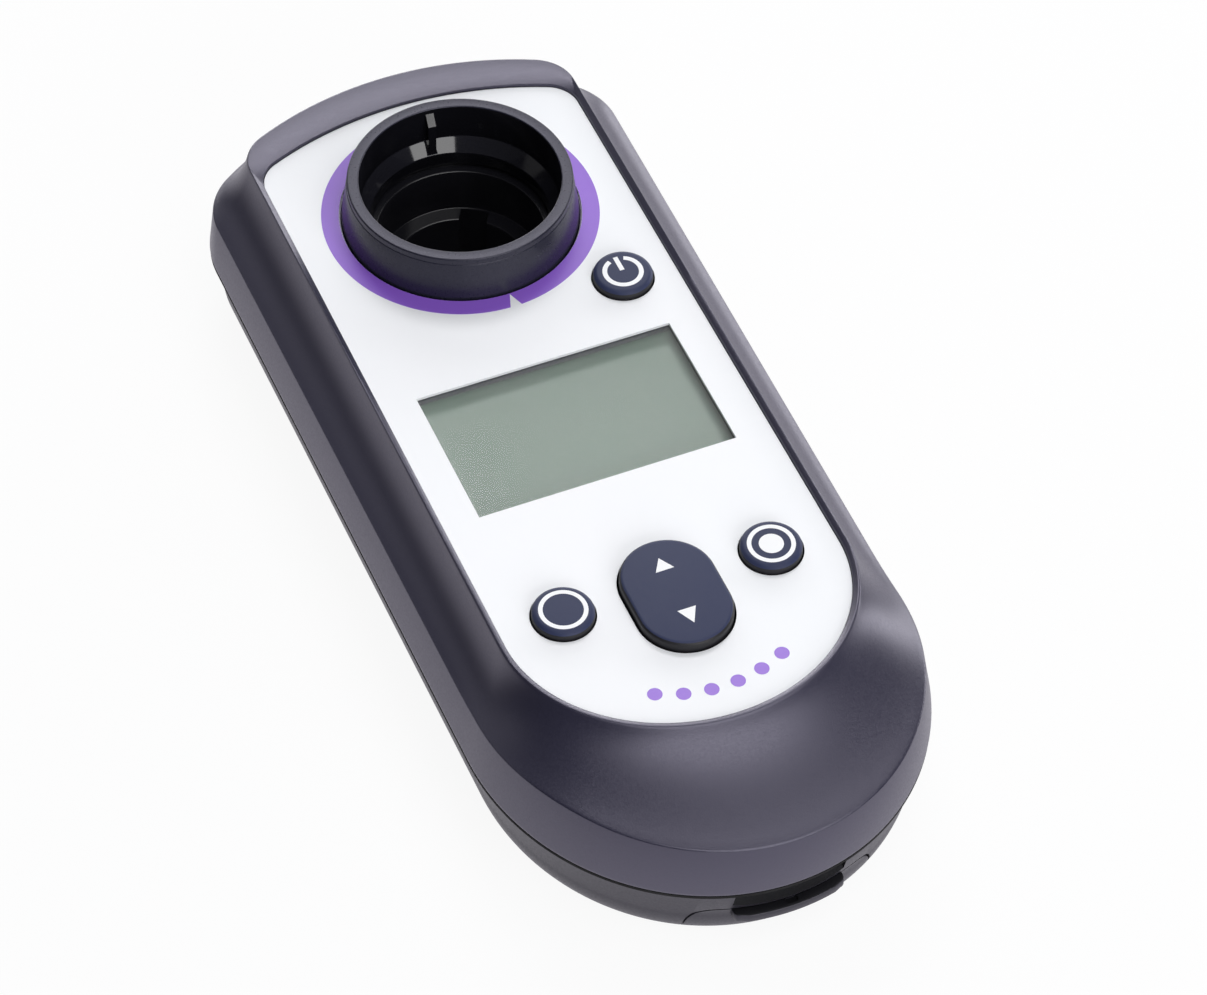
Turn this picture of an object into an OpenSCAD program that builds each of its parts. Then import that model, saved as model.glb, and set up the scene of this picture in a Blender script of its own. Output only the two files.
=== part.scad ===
// Hand-held pool water photometer, built up from its moulded shells, optics, keys and battery bay.
// Frame: +X to the right, +Y from the nose to the vial collar, +Z up.
// The origin is on the table, under the middle of the body. All sizes are in millimetres.

/* [Body] */
// Length of the body from nose to back
body_len = 200.8; // [200:0.2:212]
// Width of the body at the seam, at the nose end
body_w = 84.8; // [84.2:0.2:93]
// How much wider each side of the seam gets towards the back
seam_flare = 0.5; // [0:0.1:1.5]
// Height from the underside up to the face plate
body_h = 32.5; // [32:0.5:36]
// Height of the seam above the underside
seam_h = 14.4; // [13.6:0.2:15.4]
// Wall thickness of both shells
wall = 2.2; // [1.8:0.1:2.6]
// Thickness of the housing wall under the face plate
top_wall = 2; // [1.8:0.1:2.6]
// Length of the half-ellipse that rounds the nose
nose_len = 46; // [42:0.5:50]
// Radius of the shallow arc across the back
crown_r = 58; // [56:1:72]
// Radius of the back corners at the seam
corner_r = 20.5; // [19:0.5:22]

/* [Shoulder] */
// How far the crease lies inside the seam on each side
crease_in = 2.25; // [1.9:0.05:3.5]
// How far the crease lies inside the seam at the back
crease_back_in = 1.8; // [1.4:0.1:3.5]
// How much wider each side of the crease gets towards the back
crease_flare = 1; // [0:0.1:1.5]
// Depth of the crease below the face plate along the sides
crease_drop = 9.5; // [8.5:0.1:10.5]
// Depth of the crease below the face plate at the nose
crease_nose_drop = 5.2; // [4.8:0.1:7]
// How far the ridge lies inside the seam on each side
ridge_in = 9.25; // [8.8:0.05:9.8]
// Height of the ridge above the face plate
ridge_h = 1.2; // [0.9:0.1:1.6]
// Length of the sloping apron from the nose to the ridge
apron_len = 23.95; // [22:0.05:26]
// Length of the slope from the back to the ridge
back_slope = 8.4; // [7.8:0.1:10]
// How early the cove falls away from the ridge, 0 is late
cove_run = 0.26; // [0.15:0.01:0.5]
// How fast the cove loses height, 1 is at once
cove_fall = 0.74; // [0.5:0.01:0.9]

/* [Base] */
// Inward draft of the base wall per millimetre of height
base_draft = 0.31; // [0.25:0.01:0.38]
// Height of the rounded lower edge of the base
base_round_h = 7.1; // [6:0.1:8]
// How far the rounded lower edge tucks in
base_tuck = 3.5; // [2.5:0.1:4.2]
// Thickness of the gasket between the shells
gasket_t = 0.6; // [0.4:0.1:0.8]
// How far the gasket is set back from the outside
gasket_in = 0.6; // [0.4:0.1:0.8]
// How far the feet stand proud of the underside
foot_proud = 0.8; // [0.6:0.1:1.4]
// Radius of a rubber foot
foot_r = 5; // [4:0.1:5.4]
// Depth of the recess that holds a foot
foot_recess = 0.8; // [0.5:0.1:1]

/* [Face plate] */
// Thickness of the face plate
plate_t = 0.6; // [0.4:0.1:0.8]
// How far the face plate lies inside the ridge at the sides and nose
lip_w = 1.3; // [1.1:0.1:2]
// How far the face plate lies inside the ridge at the back
rim_back = 7.55; // [6:0.05:8.5]
// Radius of the arc across the back of the face
face_crown_r = 70; // [62:1:90]
// How far the edge of the rim stands above the face plate
rim_step = 0.6; // [0.4:0.1:0.8]
// Width of the face plate left on each side of the display window
window_side = 6.85; // [6.35:0.05:8.85]
// Height of the display window across the face
window_h = 30.5; // [28:0.5:31]
// Distance from the nose to the middle of the window
window_from_nose = 98.15; // [97.5:0.05:99]
// Thickness of the window lens
lens_t = 1; // [0.8:0.1:1.2]
// Width of the seat that carries the lens around the window
lens_seat = 2.5; // [2:0.1:3]

/* [Display] */
// How far the display glass reaches past the window on each side
glass_edge = 4; // [3.2:0.1:4.2]
// Height of the display glass across the face
glass_h = 39; // [36.6:0.2:39]
// Thickness of the display glass
glass_t = 2; // [1.6:0.1:2.2]
// Thickness of the foam cushion between housing and display glass
cushion_t = 0.4; // [0.3:0.1:0.6]
// Height of the display frame below the glass
frame_drop = 4; // [3.6:0.1:4.4]
// Thickness of the main board
board_t = 1.6; // [1:0.1:1.8]

/* [Keys] */
// Radius of the three round keys
key_r = 5.65; // [5.2:0.05:5.9]
// How far a round key stands above the face plate
key_proud = 1.7; // [1.2:0.1:2.2]
// How far inward a lower round key sits from midway between the rocker and the plate's side
key_inward = 0.375; // [0.275:0.05:0.925]
// Distance from the nose to the lower round keys
key_from_nose = 56.45; // [55.5:0.05:57.5]
// How much farther out the power key sits than the lower round keys
power_out = 1.75; // [1.3:0.05:2.1]
// Distance from the nose to the power key
power_from_nose = 127.1; // [126.9:0.05:127.4]
// Width of the rocker
rocker_w = 17.4; // [16.4:0.1:17.8]
// Length of the rocker
rocker_l = 24.6; // [23:0.1:25]
// How far the rocker stands above the face plate
rocker_proud = 2; // [1.4:0.1:2.4]
// Distance from the nose to the middle of the rocker
rocker_from_nose = 52.65; // [52:0.05:53.5]
// Free space around a round key
key_gap = 0.3; // [0.2:0.05:0.4]
// Free space around the rocker
rocker_gap = 0.4; // [0.35:0.05:0.5]
// Travel of a round key
key_travel = 0.8; // [0.5:0.05:0.8]
// Thickness of the silicone keypad sheet
sheet_t = 0.6; // [0.4:0.1:0.8]

/* [Collar and well] */
// Distance from the nose to the axis of the collar
collar_from_nose = 154.15; // [154:0.05:155]
// Height of the collar above the face plate
collar_h = 9.2; // [8:0.1:12]
// Outer radius of the collar at its top
collar_top_r = 21.2; // [20.8:0.1:21.8]
// Outer radius of the collar at the face plate
collar_base_r = 22.4; // [22:0.1:22.8]
// Radius of the open mouth of the collar
mouth_r = 18.95; // [18.6:0.05:19.3]
// Depth of the mouth down to the cone
mouth_depth = 7.8; // [6:0.1:8.2]
// Radius of the throat below the cone
throat_r = 17.7; // [17.2:0.1:18.2]
// Depth of the throat below the face plate
throat_drop = 2.1; // [1.5:0.1:2.4]
// Depth of the bottom of the collar below the face plate
collar_drop = 5.2; // [5:0.1:5.6]
// Radius of the well above the vial guide
well_r = 15.8; // [15.2:0.1:16.2]
// Depth of the vial guide's top below the face plate
guide_drop = 15; // [14.4:0.1:15.8]
// Radius of the bore that holds the vial
vial_r = 12.6; // [11:0.05:13]
// Wall around the well
well_wall = 1.8; // [1.5:0.1:2]
// Height of the light beam above the well floor
beam_h = 6; // [5:0.1:7]
// Radius of a light channel through the guide
beam_r = 1.3; // [1:0.1:1.6]
// Radius of a light source or sensor body
opto_r = 2.5; // [2:0.1:2.6]
// Running gap around seated parts
seat_gap = 0.15; // [0.1:0.01:0.2]

/* [Battery bay] */
// Radius of a cell
cell_r = 7.15; // [7:0.05:7.25]
// Length of a cell with its nub
cell_len = 50.5; // [49:0.5:51]
// Free space between the two cells
cell_apart = 0.9; // [0.6:0.1:1]
// Length of a compressed contact spring
spring_len = 3.9; // [3:0.1:4.2]
// Wall of the battery tray
tray_wall = 1.5; // [1.2:0.1:1.6]
// Width of the battery door
door_w = 35; // [34.4:0.2:35.6]
// Thickness of the battery door
door_t = 1.8; // [1.5:0.1:1.9]
// Height of the door's front tongue above the underside
tongue_h = 8.5; // [7.8:0.1:8.8]
// Free space around the battery door
door_gap = 0.3; // [0.25:0.05:0.4]
// Width of the finger lip on the door
lip_len = 21; // [18:0.5:22]
// Thickness of the finger lip
lip_t = 2; // [1.4:0.1:2.4]
// Radius of the hinge pins on the door
pin_r = 1.2; // [1:0.05:1.4]
// Running gap around a hinge pin
pin_gap = 0.06; // [0.04:0.01:0.08]

/* [Hidden] */

eps = 0.01;
round_fn = 72;
corner_steps = 6;
crown_steps = 12;
nose_steps = 36;
cove_steps = 5;
round_steps = 4;

// Heights above the table
under_z = foot_proud;
face_z = under_z + body_h;
pocket_z = face_z - plate_t;
ceiling_z = pocket_z - top_wall;
rim_z = face_z + rim_step;
ridge_z = face_z + ridge_h;
floor_z = under_z + wall;
upper_edge_z = under_z + seam_h + gasket_t / 2;
lower_edge_z = under_z + seam_h - gasket_t / 2;
bend_z = under_z + base_round_h;

// Places along the body
nose_y = -body_len / 2;
back_y = body_len / 2;
window_y = nose_y + window_from_nose;
key_y = nose_y + key_from_nose;
power_y = nose_y + power_from_nose;
rocker_y = nose_y + rocker_from_nose;
collar_y = nose_y + collar_from_nose;

// A section is half width, front, back, nose length, back arc radius, corner radius and flare
function grow(s, d) = [s[0] + d, s[1] - d, s[2] + d, s[3] + d, s[4] + d, s[5] + d, s[6]];
function blend(a, b, t) = a * (1 - t) + b * t;

seam = [body_w / 2, nose_y, back_y, nose_len, crown_r, corner_r, seam_flare];
crease = [body_w / 2 - crease_in, nose_y + 0.1, back_y - crease_back_in, nose_len, crown_r,
    corner_r - 6, crease_flare];
ridge_w = body_w / 2 - ridge_in;
ridge = [ridge_w, nose_y + apron_len, back_y - back_slope, ridge_w * 0.9, face_crown_r - 4, 8.5, 0];
plate = [ridge_w - lip_w, ridge[1] + lip_w, ridge[2] - rim_back, ridge[3] - lip_w, face_crown_r, 6.5, 0];
window_w = 2 * (plate[0] - window_side);
glass_w = window_w + 2 * glass_edge;
key_x = (rocker_w / 2 + plate[0]) / 2 - key_inward;
power_x = key_x + power_out;

// The crease climbs towards the nose between these two places
climb_start = 56.2;
climb_end = 16.2;
climb_from = nose_y + climb_start;
climb_to = nose_y + climb_end;
function smooth(t) = let(c = max(0, min(1, t))) c * c * (3 - 2 * c);
function crease_z(y) = face_z - crease_drop
    + (crease_drop - crease_nose_drop) * smooth((climb_from - y) / (climb_from - climb_to));

// Ring of points around a section, seen from above: a back corner, the back arc,
// the other corner, and the straight sides joined by the half-ellipse of the nose
function ring(s) = let(
    ellipse_y = s[1] + s[3],
    arc_y = s[2] - s[4],
    corner_x = s[0] - s[5],
    corner_y = arc_y + sqrt(pow(s[4] - s[5], 2) - pow(corner_x, 2)),
    turn = atan2(corner_y - arc_y, corner_x),
    plain = concat(
        [for (i = [0 : corner_steps]) let(a = turn * i / corner_steps)
            [corner_x + s[5] * cos(a), corner_y + s[5] * sin(a)]],
        [for (i = [1 : crown_steps - 1]) let(a = turn + (180 - 2 * turn) * i / crown_steps)
            [s[4] * cos(a), arc_y + s[4] * sin(a)]],
        [for (i = [corner_steps : -1 : 0]) let(a = turn * i / corner_steps)
            [-corner_x - s[5] * cos(a), corner_y + s[5] * sin(a)]],
        [for (i = [0 : nose_steps]) let(a = 180 + 180 * i / nose_steps)
            [s[0] * cos(a), ellipse_y + s[3] * sin(a)]]))
    [for (p = plain) let(far = max(0, (p[1] - ellipse_y) / (s[2] - ellipse_y)))
        [p[0] * (1 + s[6] * far / s[0]), p[1]]];

function level(s, z) = [for (p = ring(s)) [p[0], p[1], z]];

// Solid through a stack of levels, given from the bottom up
module loft(levels) {
    n = len(levels[0]);
    m = len(levels);
    sides = [for (i = [0 : m - 2], j = [0 : n - 1]) let(k = (j + 1) % n)
        each [[i * n + j, (i + 1) * n + k, i * n + k], [i * n + j, (i + 1) * n + j, (i + 1) * n + k]]];
    polyhedron(points = [for (l = levels) each l],
        faces = concat([[for (j = [0 : n - 1]) j]],
            sides,
            [[for (j = [n - 1 : -1 : 0]) (m - 1) * n + j]]));
}

// Level of the cove between ridge (t = 0) and crease (t = 1), lowered and pulled in by a wall
function cove_level(t, inward = 0, down = 0) = let(
    u = 2 * (1 - t) * t * cove_run + t * t,
    v = 2 * (1 - t) * t * cove_fall + t * t,
    around = ring(grow(blend(ridge, crease, u), -inward)),
    low = ring(crease))
    [for (j = [0 : len(around) - 1]) [around[j][0], around[j][1],
        ridge_z + (crease_z(low[j][1]) - ridge_z) * v - down]];

module upper_outer() {
    loft(concat([level(seam, upper_edge_z)],
        [for (i = [cove_steps : -1 : 0]) cove_level(i / cove_steps)],
        [level(grow(plate, 0.1), rim_z)]));
}

// The hollow keeps the wall under the crease and cove, and stops at the ceiling
module upper_hollow() {
    loft([level(grow(seam, -wall), upper_edge_z - 1),
        level(grow(seam, -wall), upper_edge_z),
        cove_level(1, wall, wall),
        cove_level(0.5, wall, wall),
        level(grow(ridge, -1.6), ceiling_z)]);
}

// Solid of the base, offset inwards by d
module base_solid(d, top) {
    drafted = base_draft * (lower_edge_z - bend_z);
    loft(concat(
        [for (i = [round_steps : -1 : 0]) let(a = 90 * i / round_steps)
            level(grow(seam, -drafted - base_tuck * (1 - cos(a)) - d),
                bend_z - (base_round_h - d) * sin(a))],
        [level(grow(seam, -0.1 - d), top)]));
}

// Screw positions
end_screw_x = 25;
end_screw_from_nose = 26.75;
end_screw_from_back = 19.5;
side_screw_in = 10.4;
side_screw_from_nose = 70.75;
case_screw_at = [[end_screw_x, nose_y + end_screw_from_nose],
    [body_w / 2 - side_screw_in, nose_y + side_screw_from_nose],
    [end_screw_x, back_y - end_screw_from_back]];
front_board_screw_x = 14;
front_board_screw_from_nose = 33.75;
middle_board_screw_from_nose = 71.25;
back_board_screw_x = -25;
back_board_screw_from_nose = 126.25;
board_screw_at = [[0, nose_y + middle_board_screw_from_nose],
    [back_board_screw_x, nose_y + back_board_screw_from_nose],
    [-front_board_screw_x, nose_y + front_board_screw_from_nose],
    [front_board_screw_x, nose_y + front_board_screw_from_nose]];
ear_r = 29;
ear_angles = [45, 135, 270];
foot_x = 28;
foot_from_nose = 42.75;
foot_from_back = 40.75;
foot_at = [[foot_x, nose_y + foot_from_nose], [foot_x, back_y - foot_from_back]];

module each_mirrored(places) {
    for (p = places, side = [-1, 1])
        translate([side * p[0], p[1], 0]) children();
}

module tube(r_out, r_in, z0, z1) {
    difference() {
        translate([0, 0, z0]) cylinder(r = r_out, h = z1 - z0, $fn = round_fn);
        translate([0, 0, z0 - eps]) cylinder(r = r_in, h = z1 - z0 + 2 * eps, $fn = round_fn);
    }
}

module rod(r, z0, z1) {
    translate([0, 0, z0]) cylinder(r = r, h = z1 - z0, $fn = round_fn);
}

module block(w, l, z0, z1) {
    translate([-w / 2, -l / 2, z0]) cube([w, l, z1 - z0]);
}

module capsule(w, l) {
    for (side = [-1, 1]) translate([0, side * (l - w) / 2]) circle(d = w, $fn = round_fn);
    square([w, l - w], center = true);
}

// Case screws
case_shank_r = 1.5;
case_head_r = 2.8;
case_head_h = 2.2;
case_ledge_z = under_z + 8.4;
case_screw_len = 12;
case_boss_r = 4.4;
pilot_gap = 0.05;
pilot_extra = 1.2;

module case_screws() {
    color("dimgray") each_mirrored(case_screw_at) screw(case_ledge_z, case_shank_r, case_screw_len,
        case_head_r, case_head_h);
}

// Screw with its head below the seat and its shank above, cross recess left to the finish
module screw(seat_z, shank_r, shank_len, head_r, head_h) {
    rod(shank_r, seat_z - eps, seat_z + shank_len);
    difference() {
        rod(head_r, seat_z - head_h, seat_z);
        for (turn = [0, 90]) rotate(turn)
            block(head_r * 1.2, head_r * 0.3, seat_z - head_h - eps, seat_z - head_h * 0.45);
    }
}

// Key stack under the housing ceiling
flange_gap = seat_gap;
key_flange_t = 1;
key_flange_r = key_r + 1.35;
flange_top_z = ceiling_z - sheet_t - flange_gap;
flange_low_z = flange_top_z - key_flange_t;
board_top_z = ceiling_z - cushion_t - glass_t - frame_drop;
board_low_z = board_top_z - board_t;
switch_h = 3.1;
switch_top_z = board_top_z + switch_h;
key_stem_z = switch_top_z + key_travel + 0.1;
key_stem_r = 1.8;

rocker_axis_z = board_top_z + 2.9;
rocker_rib_r = 1.5;
rocker_peg_y = 7.5;
rocker_lift = 0.5;
rocker_ear_share = 0.38;
rocker_ear_w = rocker_ear_share * (key_x - key_flange_r - rocker_w / 2);
rocker_ear_l = 5;

key_at = [[power_x, power_y], [-key_x, key_y], [key_x, key_y]];

module key_holes(gap, rocker_free) {
    for (p = key_at) translate(p) circle(r = key_r + gap, $fn = round_fn);
    translate([0, rocker_y]) capsule(rocker_w + 2 * rocker_free, rocker_l + 2 * rocker_free);
}

// Upper housing
well_boss_r = 3;
board_boss_r = 2.6;
board_pilot_r = 1.05;
well_pilot_r = 1.15;
collar_hole_gap = 0.2;

module upper_bosses() {
    each_mirrored(case_screw_at) rod(case_boss_r - 0.6, upper_edge_z, face_z);
    for (p = board_screw_at) translate(p) rod(board_boss_r, board_top_z, face_z);
    for (a = ear_angles) translate([ear_r * cos(a), collar_y + ear_r * sin(a), 0])
        rod(well_boss_r, face_z - collar_drop, face_z);
}

module upper_housing() color("#3f3e48") {
    difference() {
        upper_outer();
        difference() {
            upper_hollow();
            upper_bosses();
        }
        translate([0, 0, pocket_z]) linear_extrude(rim_step + ridge_h + 1)
            polygon(ring(grow(plate, seat_gap)));
        translate([0, window_y, 0]) {
            block(window_w + 2 * lens_seat + 0.2, window_h + 2 * lens_seat + 0.2,
                pocket_z - lens_t - 0.1, face_z);
            block(window_w + 1, window_h + 1, ceiling_z - 1, face_z);
        }
        translate([0, 0, ceiling_z - 1]) linear_extrude(top_wall + plate_t + 1)
            key_holes(key_gap, rocker_gap);
        translate([0, collar_y, 0]) {
            rod(collar_base_r + collar_hole_gap, ceiling_z - 1, face_z);
            rod(flange_r + seat_gap, collar_low_z, collar_flange_z);
        }
        for (p = key_at) translate(p) rod(key_flange_r + seat_gap, flange_low_z - key_travel, flange_top_z);
        each_mirrored(case_screw_at) rod(case_shank_r + pilot_gap, upper_edge_z - 1,
            case_ledge_z + case_screw_len + pilot_extra);
        for (p = board_screw_at) translate(p) rod(board_pilot_r, board_top_z - 1, ceiling_z);
        for (a = ear_angles) translate([ear_r * cos(a), collar_y + ear_r * sin(a), 0])
            rod(well_pilot_r, face_z - collar_drop - 1, ceiling_z + 0.8);
    }
}

module housing_gasket() color("#0c0c0e") {
    difference() {
        translate([0, 0, lower_edge_z]) linear_extrude(gasket_t) difference() {
            polygon(ring(grow(seam, -gasket_in)));
            polygon(ring(grow(seam, -wall)));
        }
    }
}

// Face plate and window
module face_plate() color("#f1f3f6") {
    translate([0, 0, pocket_z]) linear_extrude(plate_t) difference() {
        polygon(ring(plate));
        translate([0, window_y]) square([window_w, window_h], center = true);
        key_holes(key_gap, rocker_gap);
        translate([0, collar_y]) circle(r = collar_base_r + collar_hole_gap, $fn = round_fn);
    }
}

module window_lens() color("#c8d4d0", 0.4) {
    translate([0, window_y, 0])
        block(window_w + 2 * lens_seat, window_h + 2 * lens_seat, pocket_z - lens_t, pocket_z);
}

// Display stack, from the ceiling down
glass_z = ceiling_z - cushion_t;
frame_wall = 1;
frame_ledge = 2;
frame_w = glass_w + 2 * (frame_wall + seat_gap);
frame_h = glass_h + 2 * (frame_wall + seat_gap);
inner_w = glass_w - 2 * frame_ledge;
connector_w = 2;

module display_cushion() color("#26262a") {
    translate([0, window_y, 0]) difference() {
        block(glass_w, glass_h, glass_z, ceiling_z);
        block(window_w + 2, window_h + 2, glass_z - 1, ceiling_z + 1);
    }
}

module display_glass() color("#8d9d92") {
    translate([0, window_y, 0]) block(glass_w, glass_h, glass_z - glass_t, glass_z);
}

backlight_t = 2.6;
backlight_gap = 0.3;

module display_backlight() color("#e6ebe4") {
    translate([0, window_y, 0])
        block(inner_w - 2 * backlight_gap, glass_h - 2 * (connector_w + backlight_gap + 0.4),
            glass_z - glass_t - backlight_t, glass_z - glass_t);
}

module display_frame() color("#2b2b30") {
    translate([0, window_y, 0]) difference() {
        block(frame_w, frame_h, board_top_z, glass_z);
        block(inner_w, glass_h + 2 * seat_gap, board_top_z - 1, glass_z + 1);
        block(glass_w + 2 * seat_gap, glass_h + 2 * seat_gap, glass_z - glass_t, glass_z + 1);
    }
}

module display_connectors() color("#b9b9bd") {
    for (side = [-1, 1])
        translate([0, window_y + side * (glass_h / 2 - connector_w / 2), 0])
            block(inner_w - 4, connector_w, board_top_z, glass_z - glass_t);
}

// Keypad
sheet_w = 55;
sheet_back = 70;
sheet_front = 30.5;
power_pad_r = 8;

module keypad_sheet() color("#5d5e66") {
    translate([0, 0, ceiling_z - sheet_t]) linear_extrude(sheet_t) difference() {
        intersection() {
            polygon(ring(grow(ridge, -2.2)));
            union() {
                translate([-sheet_w / 2, nose_y + sheet_front])
                    square([sheet_w, sheet_back - sheet_front]);
                translate([power_x, power_y]) circle(r = power_pad_r, $fn = round_fn);
            }
        }
        key_holes(key_gap, rocker_gap);
        for (p = board_screw_at) translate(p) circle(r = board_boss_r + 0.2, $fn = round_fn);
        translate([0, rocker_y]) square([rocker_w + 2 * rocker_ear_w + 1, rocker_ear_l + 1], center = true);
        each_mirrored(case_screw_at) circle(r = case_boss_r, $fn = round_fn);
    }
}

module round_key() color("#2c3246") {
    top = face_z + key_proud;
    rotate_extrude($fn = round_fn) polygon([[0, key_stem_z], [key_stem_r, key_stem_z],
        [key_stem_r, flange_low_z], [key_flange_r, flange_low_z], [key_flange_r, flange_top_z],
        [key_r, flange_top_z], [key_r, top - 0.75], [key_r - 0.14, top - 0.34],
        [key_r - 0.42, top - 0.08], [key_r - 0.75, top], [0, top]]);
}

module power_key() translate([power_x, power_y, 0]) round_key();
module left_key() translate([-key_x, key_y, 0]) round_key();
module right_key() translate([key_x, key_y, 0]) round_key();

module rocker_key() color("#2c3246") {
    top = face_z + rocker_proud;
    shoulder = 0.8;
    translate([0, rocker_y, 0]) {
        translate([0, 0, flange_low_z]) linear_extrude(top - shoulder - flange_low_z)
            capsule(rocker_w, rocker_l);
        hull() {
            translate([0, 0, top - shoulder - eps]) linear_extrude(eps) capsule(rocker_w, rocker_l);
            translate([0, 0, top - 0.25]) linear_extrude(eps) capsule(rocker_w - 0.7, rocker_l - 0.7);
            translate([0, 0, top - eps]) linear_extrude(eps) capsule(rocker_w - 1.8, rocker_l - 1.8);
        }
        block(rocker_w + 2 * rocker_ear_w, rocker_ear_l, flange_low_z - 0.6, flange_top_z - 0.2);
        translate([-4, 0, rocker_axis_z]) rotate([0, 90, 0])
            cylinder(r = rocker_rib_r, h = 8, $fn = round_fn);
        block(8, 2, rocker_axis_z, flange_low_z + eps);
        for (side = [-1, 1]) translate([0, side * rocker_peg_y, 0])
            rod(key_stem_r, switch_top_z + rocker_lift, flange_low_z + eps);
    }
}

module rocker_fulcrum() color("#2b2b30") {
    translate([0, rocker_y, 0]) difference() {
        block(9, 5, board_top_z, rocker_axis_z);
        translate([-5, 0, rocker_axis_z]) rotate([0, 90, 0])
            cylinder(r = rocker_rib_r + pin_gap, h = 10, $fn = round_fn);
    }
}

module key_switches() color("#8c8f96") {
    switch_w = 6;
    for (p = concat(key_at, [[0, rocker_y - rocker_peg_y], [0, rocker_y + rocker_peg_y]])) translate(p) {
        block(switch_w, switch_w, board_top_z, switch_top_z - 0.6);
        rod(1.7, switch_top_z - 0.6 - eps, switch_top_z);
    }
}

// Main board with lugs that reach the power key and one screw boss
board_half = glass_w / 2 + frame_wall;
board_front = 28.75;
board_back = 122.75;
lug_in = 7;
lug_past_key = 6;
screw_lug_w = 14;
screw_lug_l = 8;

module main_board() color("#1f5a3c") {
    translate([0, 0, board_low_z]) linear_extrude(board_t) difference() {
        union() {
            translate([-board_half, nose_y + board_front])
                square([2 * board_half, board_back - board_front]);
            translate([power_x - lug_in, nose_y + board_back - 1])
                square([board_half - power_x + lug_in, power_from_nose - board_back + lug_past_key]);
            translate([-board_half, nose_y + board_back - 1]) square([screw_lug_w, screw_lug_l + 1]);
        }
        for (p = board_screw_at) translate(p) circle(r = board_pilot_r + 0.2, $fn = round_fn);
        each_mirrored(case_screw_at) circle(r = case_boss_r, $fn = round_fn);
    }
}

board_shank_r = 1;
board_head_r = 1.9;
board_head_h = 1.4;
board_screw_len = 5.5;

module board_screws() color("silver") {
    for (p = board_screw_at) translate(p)
        screw(board_low_z, board_shank_r, board_screw_len, board_head_r, board_head_h);
}

ribbon_x = -10;
ribbon_w = 8;
ribbon_t = 0.3;
plug_h = 1.8;

plug_l = 4.5;
plug_from_nose = 118.5;

// Parts under the main board: processor, amplifier, memory module, crystal, sounder and resistors
processor_x = -14;
processor_from_nose = 92;
processor_w = 12;
processor_h = 1.2;
amplifier_x = 8;
amplifier_from_nose = 88;
amplifier_w = 8;
amplifier_l = 5;
amplifier_h = 1;
module_x = 19;
module_from_nose = 98;
module_w = 14;
module_l = 18;
module_h = 1.8;
crystal_x = 6;
crystal_from_nose = 104;
crystal_w = 4;
crystal_l = 6;
crystal_h = 1.4;
sounder_x = -16;
sounder_from_nose = 74.5;
sounder_r = 4.2;
sounder_h = 1.8;
resistor_x = [-22, -18, -2, 2, 22];
resistor_from_nose = 80;
resistor_w = 2.4;
resistor_l = 1.4;
resistor_h = 0.9;

module board_part(x, from_nose, w, l, h) {
    translate([x, nose_y + from_nose, 0]) block(w, l, board_low_z - h, board_low_z);
}

module board_components() color("#222226") {
    board_part(processor_x, processor_from_nose, processor_w, processor_w, processor_h);
    board_part(amplifier_x, amplifier_from_nose, amplifier_w, amplifier_l, amplifier_h);
    board_part(module_x, module_from_nose, module_w, module_l, module_h);
    board_part(crystal_x, crystal_from_nose, crystal_w, crystal_l, crystal_h);
    board_part(ribbon_x, plug_from_nose, ribbon_w + 2, plug_l, plug_h);
    translate([sounder_x, nose_y + sounder_from_nose, 0])
        rod(sounder_r, board_low_z - sounder_h, board_low_z);
    for (x = resistor_x)
        board_part(x, resistor_from_nose, resistor_w, resistor_l, resistor_h);
}

// Collar: conical outside, open mouth, cone and throat inside, clamped under the ceiling
flange_r = collar_base_r + 2.8;
collar_low_z = face_z - collar_drop;
collar_flange_z = ceiling_z - 1;
seal_r = 0.48;
key_rib_turn = 86;
key_rib_w = 1.2;
key_rib_in = 0.7;

module vial_collar() color("#34343c") {
    top = face_z + collar_h;
    translate([0, collar_y, 0]) {
        rotate_extrude($fn = 2 * round_fn) polygon([[throat_r, collar_low_z], [flange_r, collar_low_z],
            [flange_r, collar_flange_z], [collar_base_r, collar_flange_z], [collar_base_r, face_z],
            [collar_top_r, top - 0.35], [collar_top_r - 0.35, top], [mouth_r + 0.15, top],
            [mouth_r, top - 0.2], [mouth_r, top - mouth_depth], [throat_r, face_z - throat_drop]]);
        rotate(key_rib_turn) translate([mouth_r - key_rib_in, -key_rib_w / 2, face_z])
            cube([key_rib_in + 0.4, key_rib_w, collar_h - 1.1]);
    }
}

module collar_seal() color("#111113") {
    translate([0, collar_y, (ceiling_z + collar_flange_z) / 2]) rotate_extrude($fn = 2 * round_fn)
        translate([(flange_r + collar_base_r) / 2, 0]) circle(r = seal_r, $fn = 24);
}

// Well: wide upper part, guide that holds the vial, light channels at the beam height
guide_z = face_z - guide_drop;
well_low_z = floor_z + 0.8;
well_floor_t = 2;
well_floor_z = well_low_z + well_floor_t;
beam_z = well_floor_z + beam_h;
well_out_r = well_r + well_wall;
well_flange_t = 2;
ear_pad_r = 3.6;
slot_turn = 58;
slot_w = 5.4;
window_t = 0.8;
window_r = opto_r + seat_gap;
window_at = vial_r + 0.8;
source_angles = [150, 180, 210];
sensor_angles = [-30, 0, 30];

module beam_bores(r, from_r, to_r) {
    for (a = concat(source_angles, sensor_angles)) rotate(a)
        translate([from_r, 0, beam_z]) rotate([0, 90, 0]) cylinder(r = r, h = to_r - from_r, $fn = 36);
}

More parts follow.
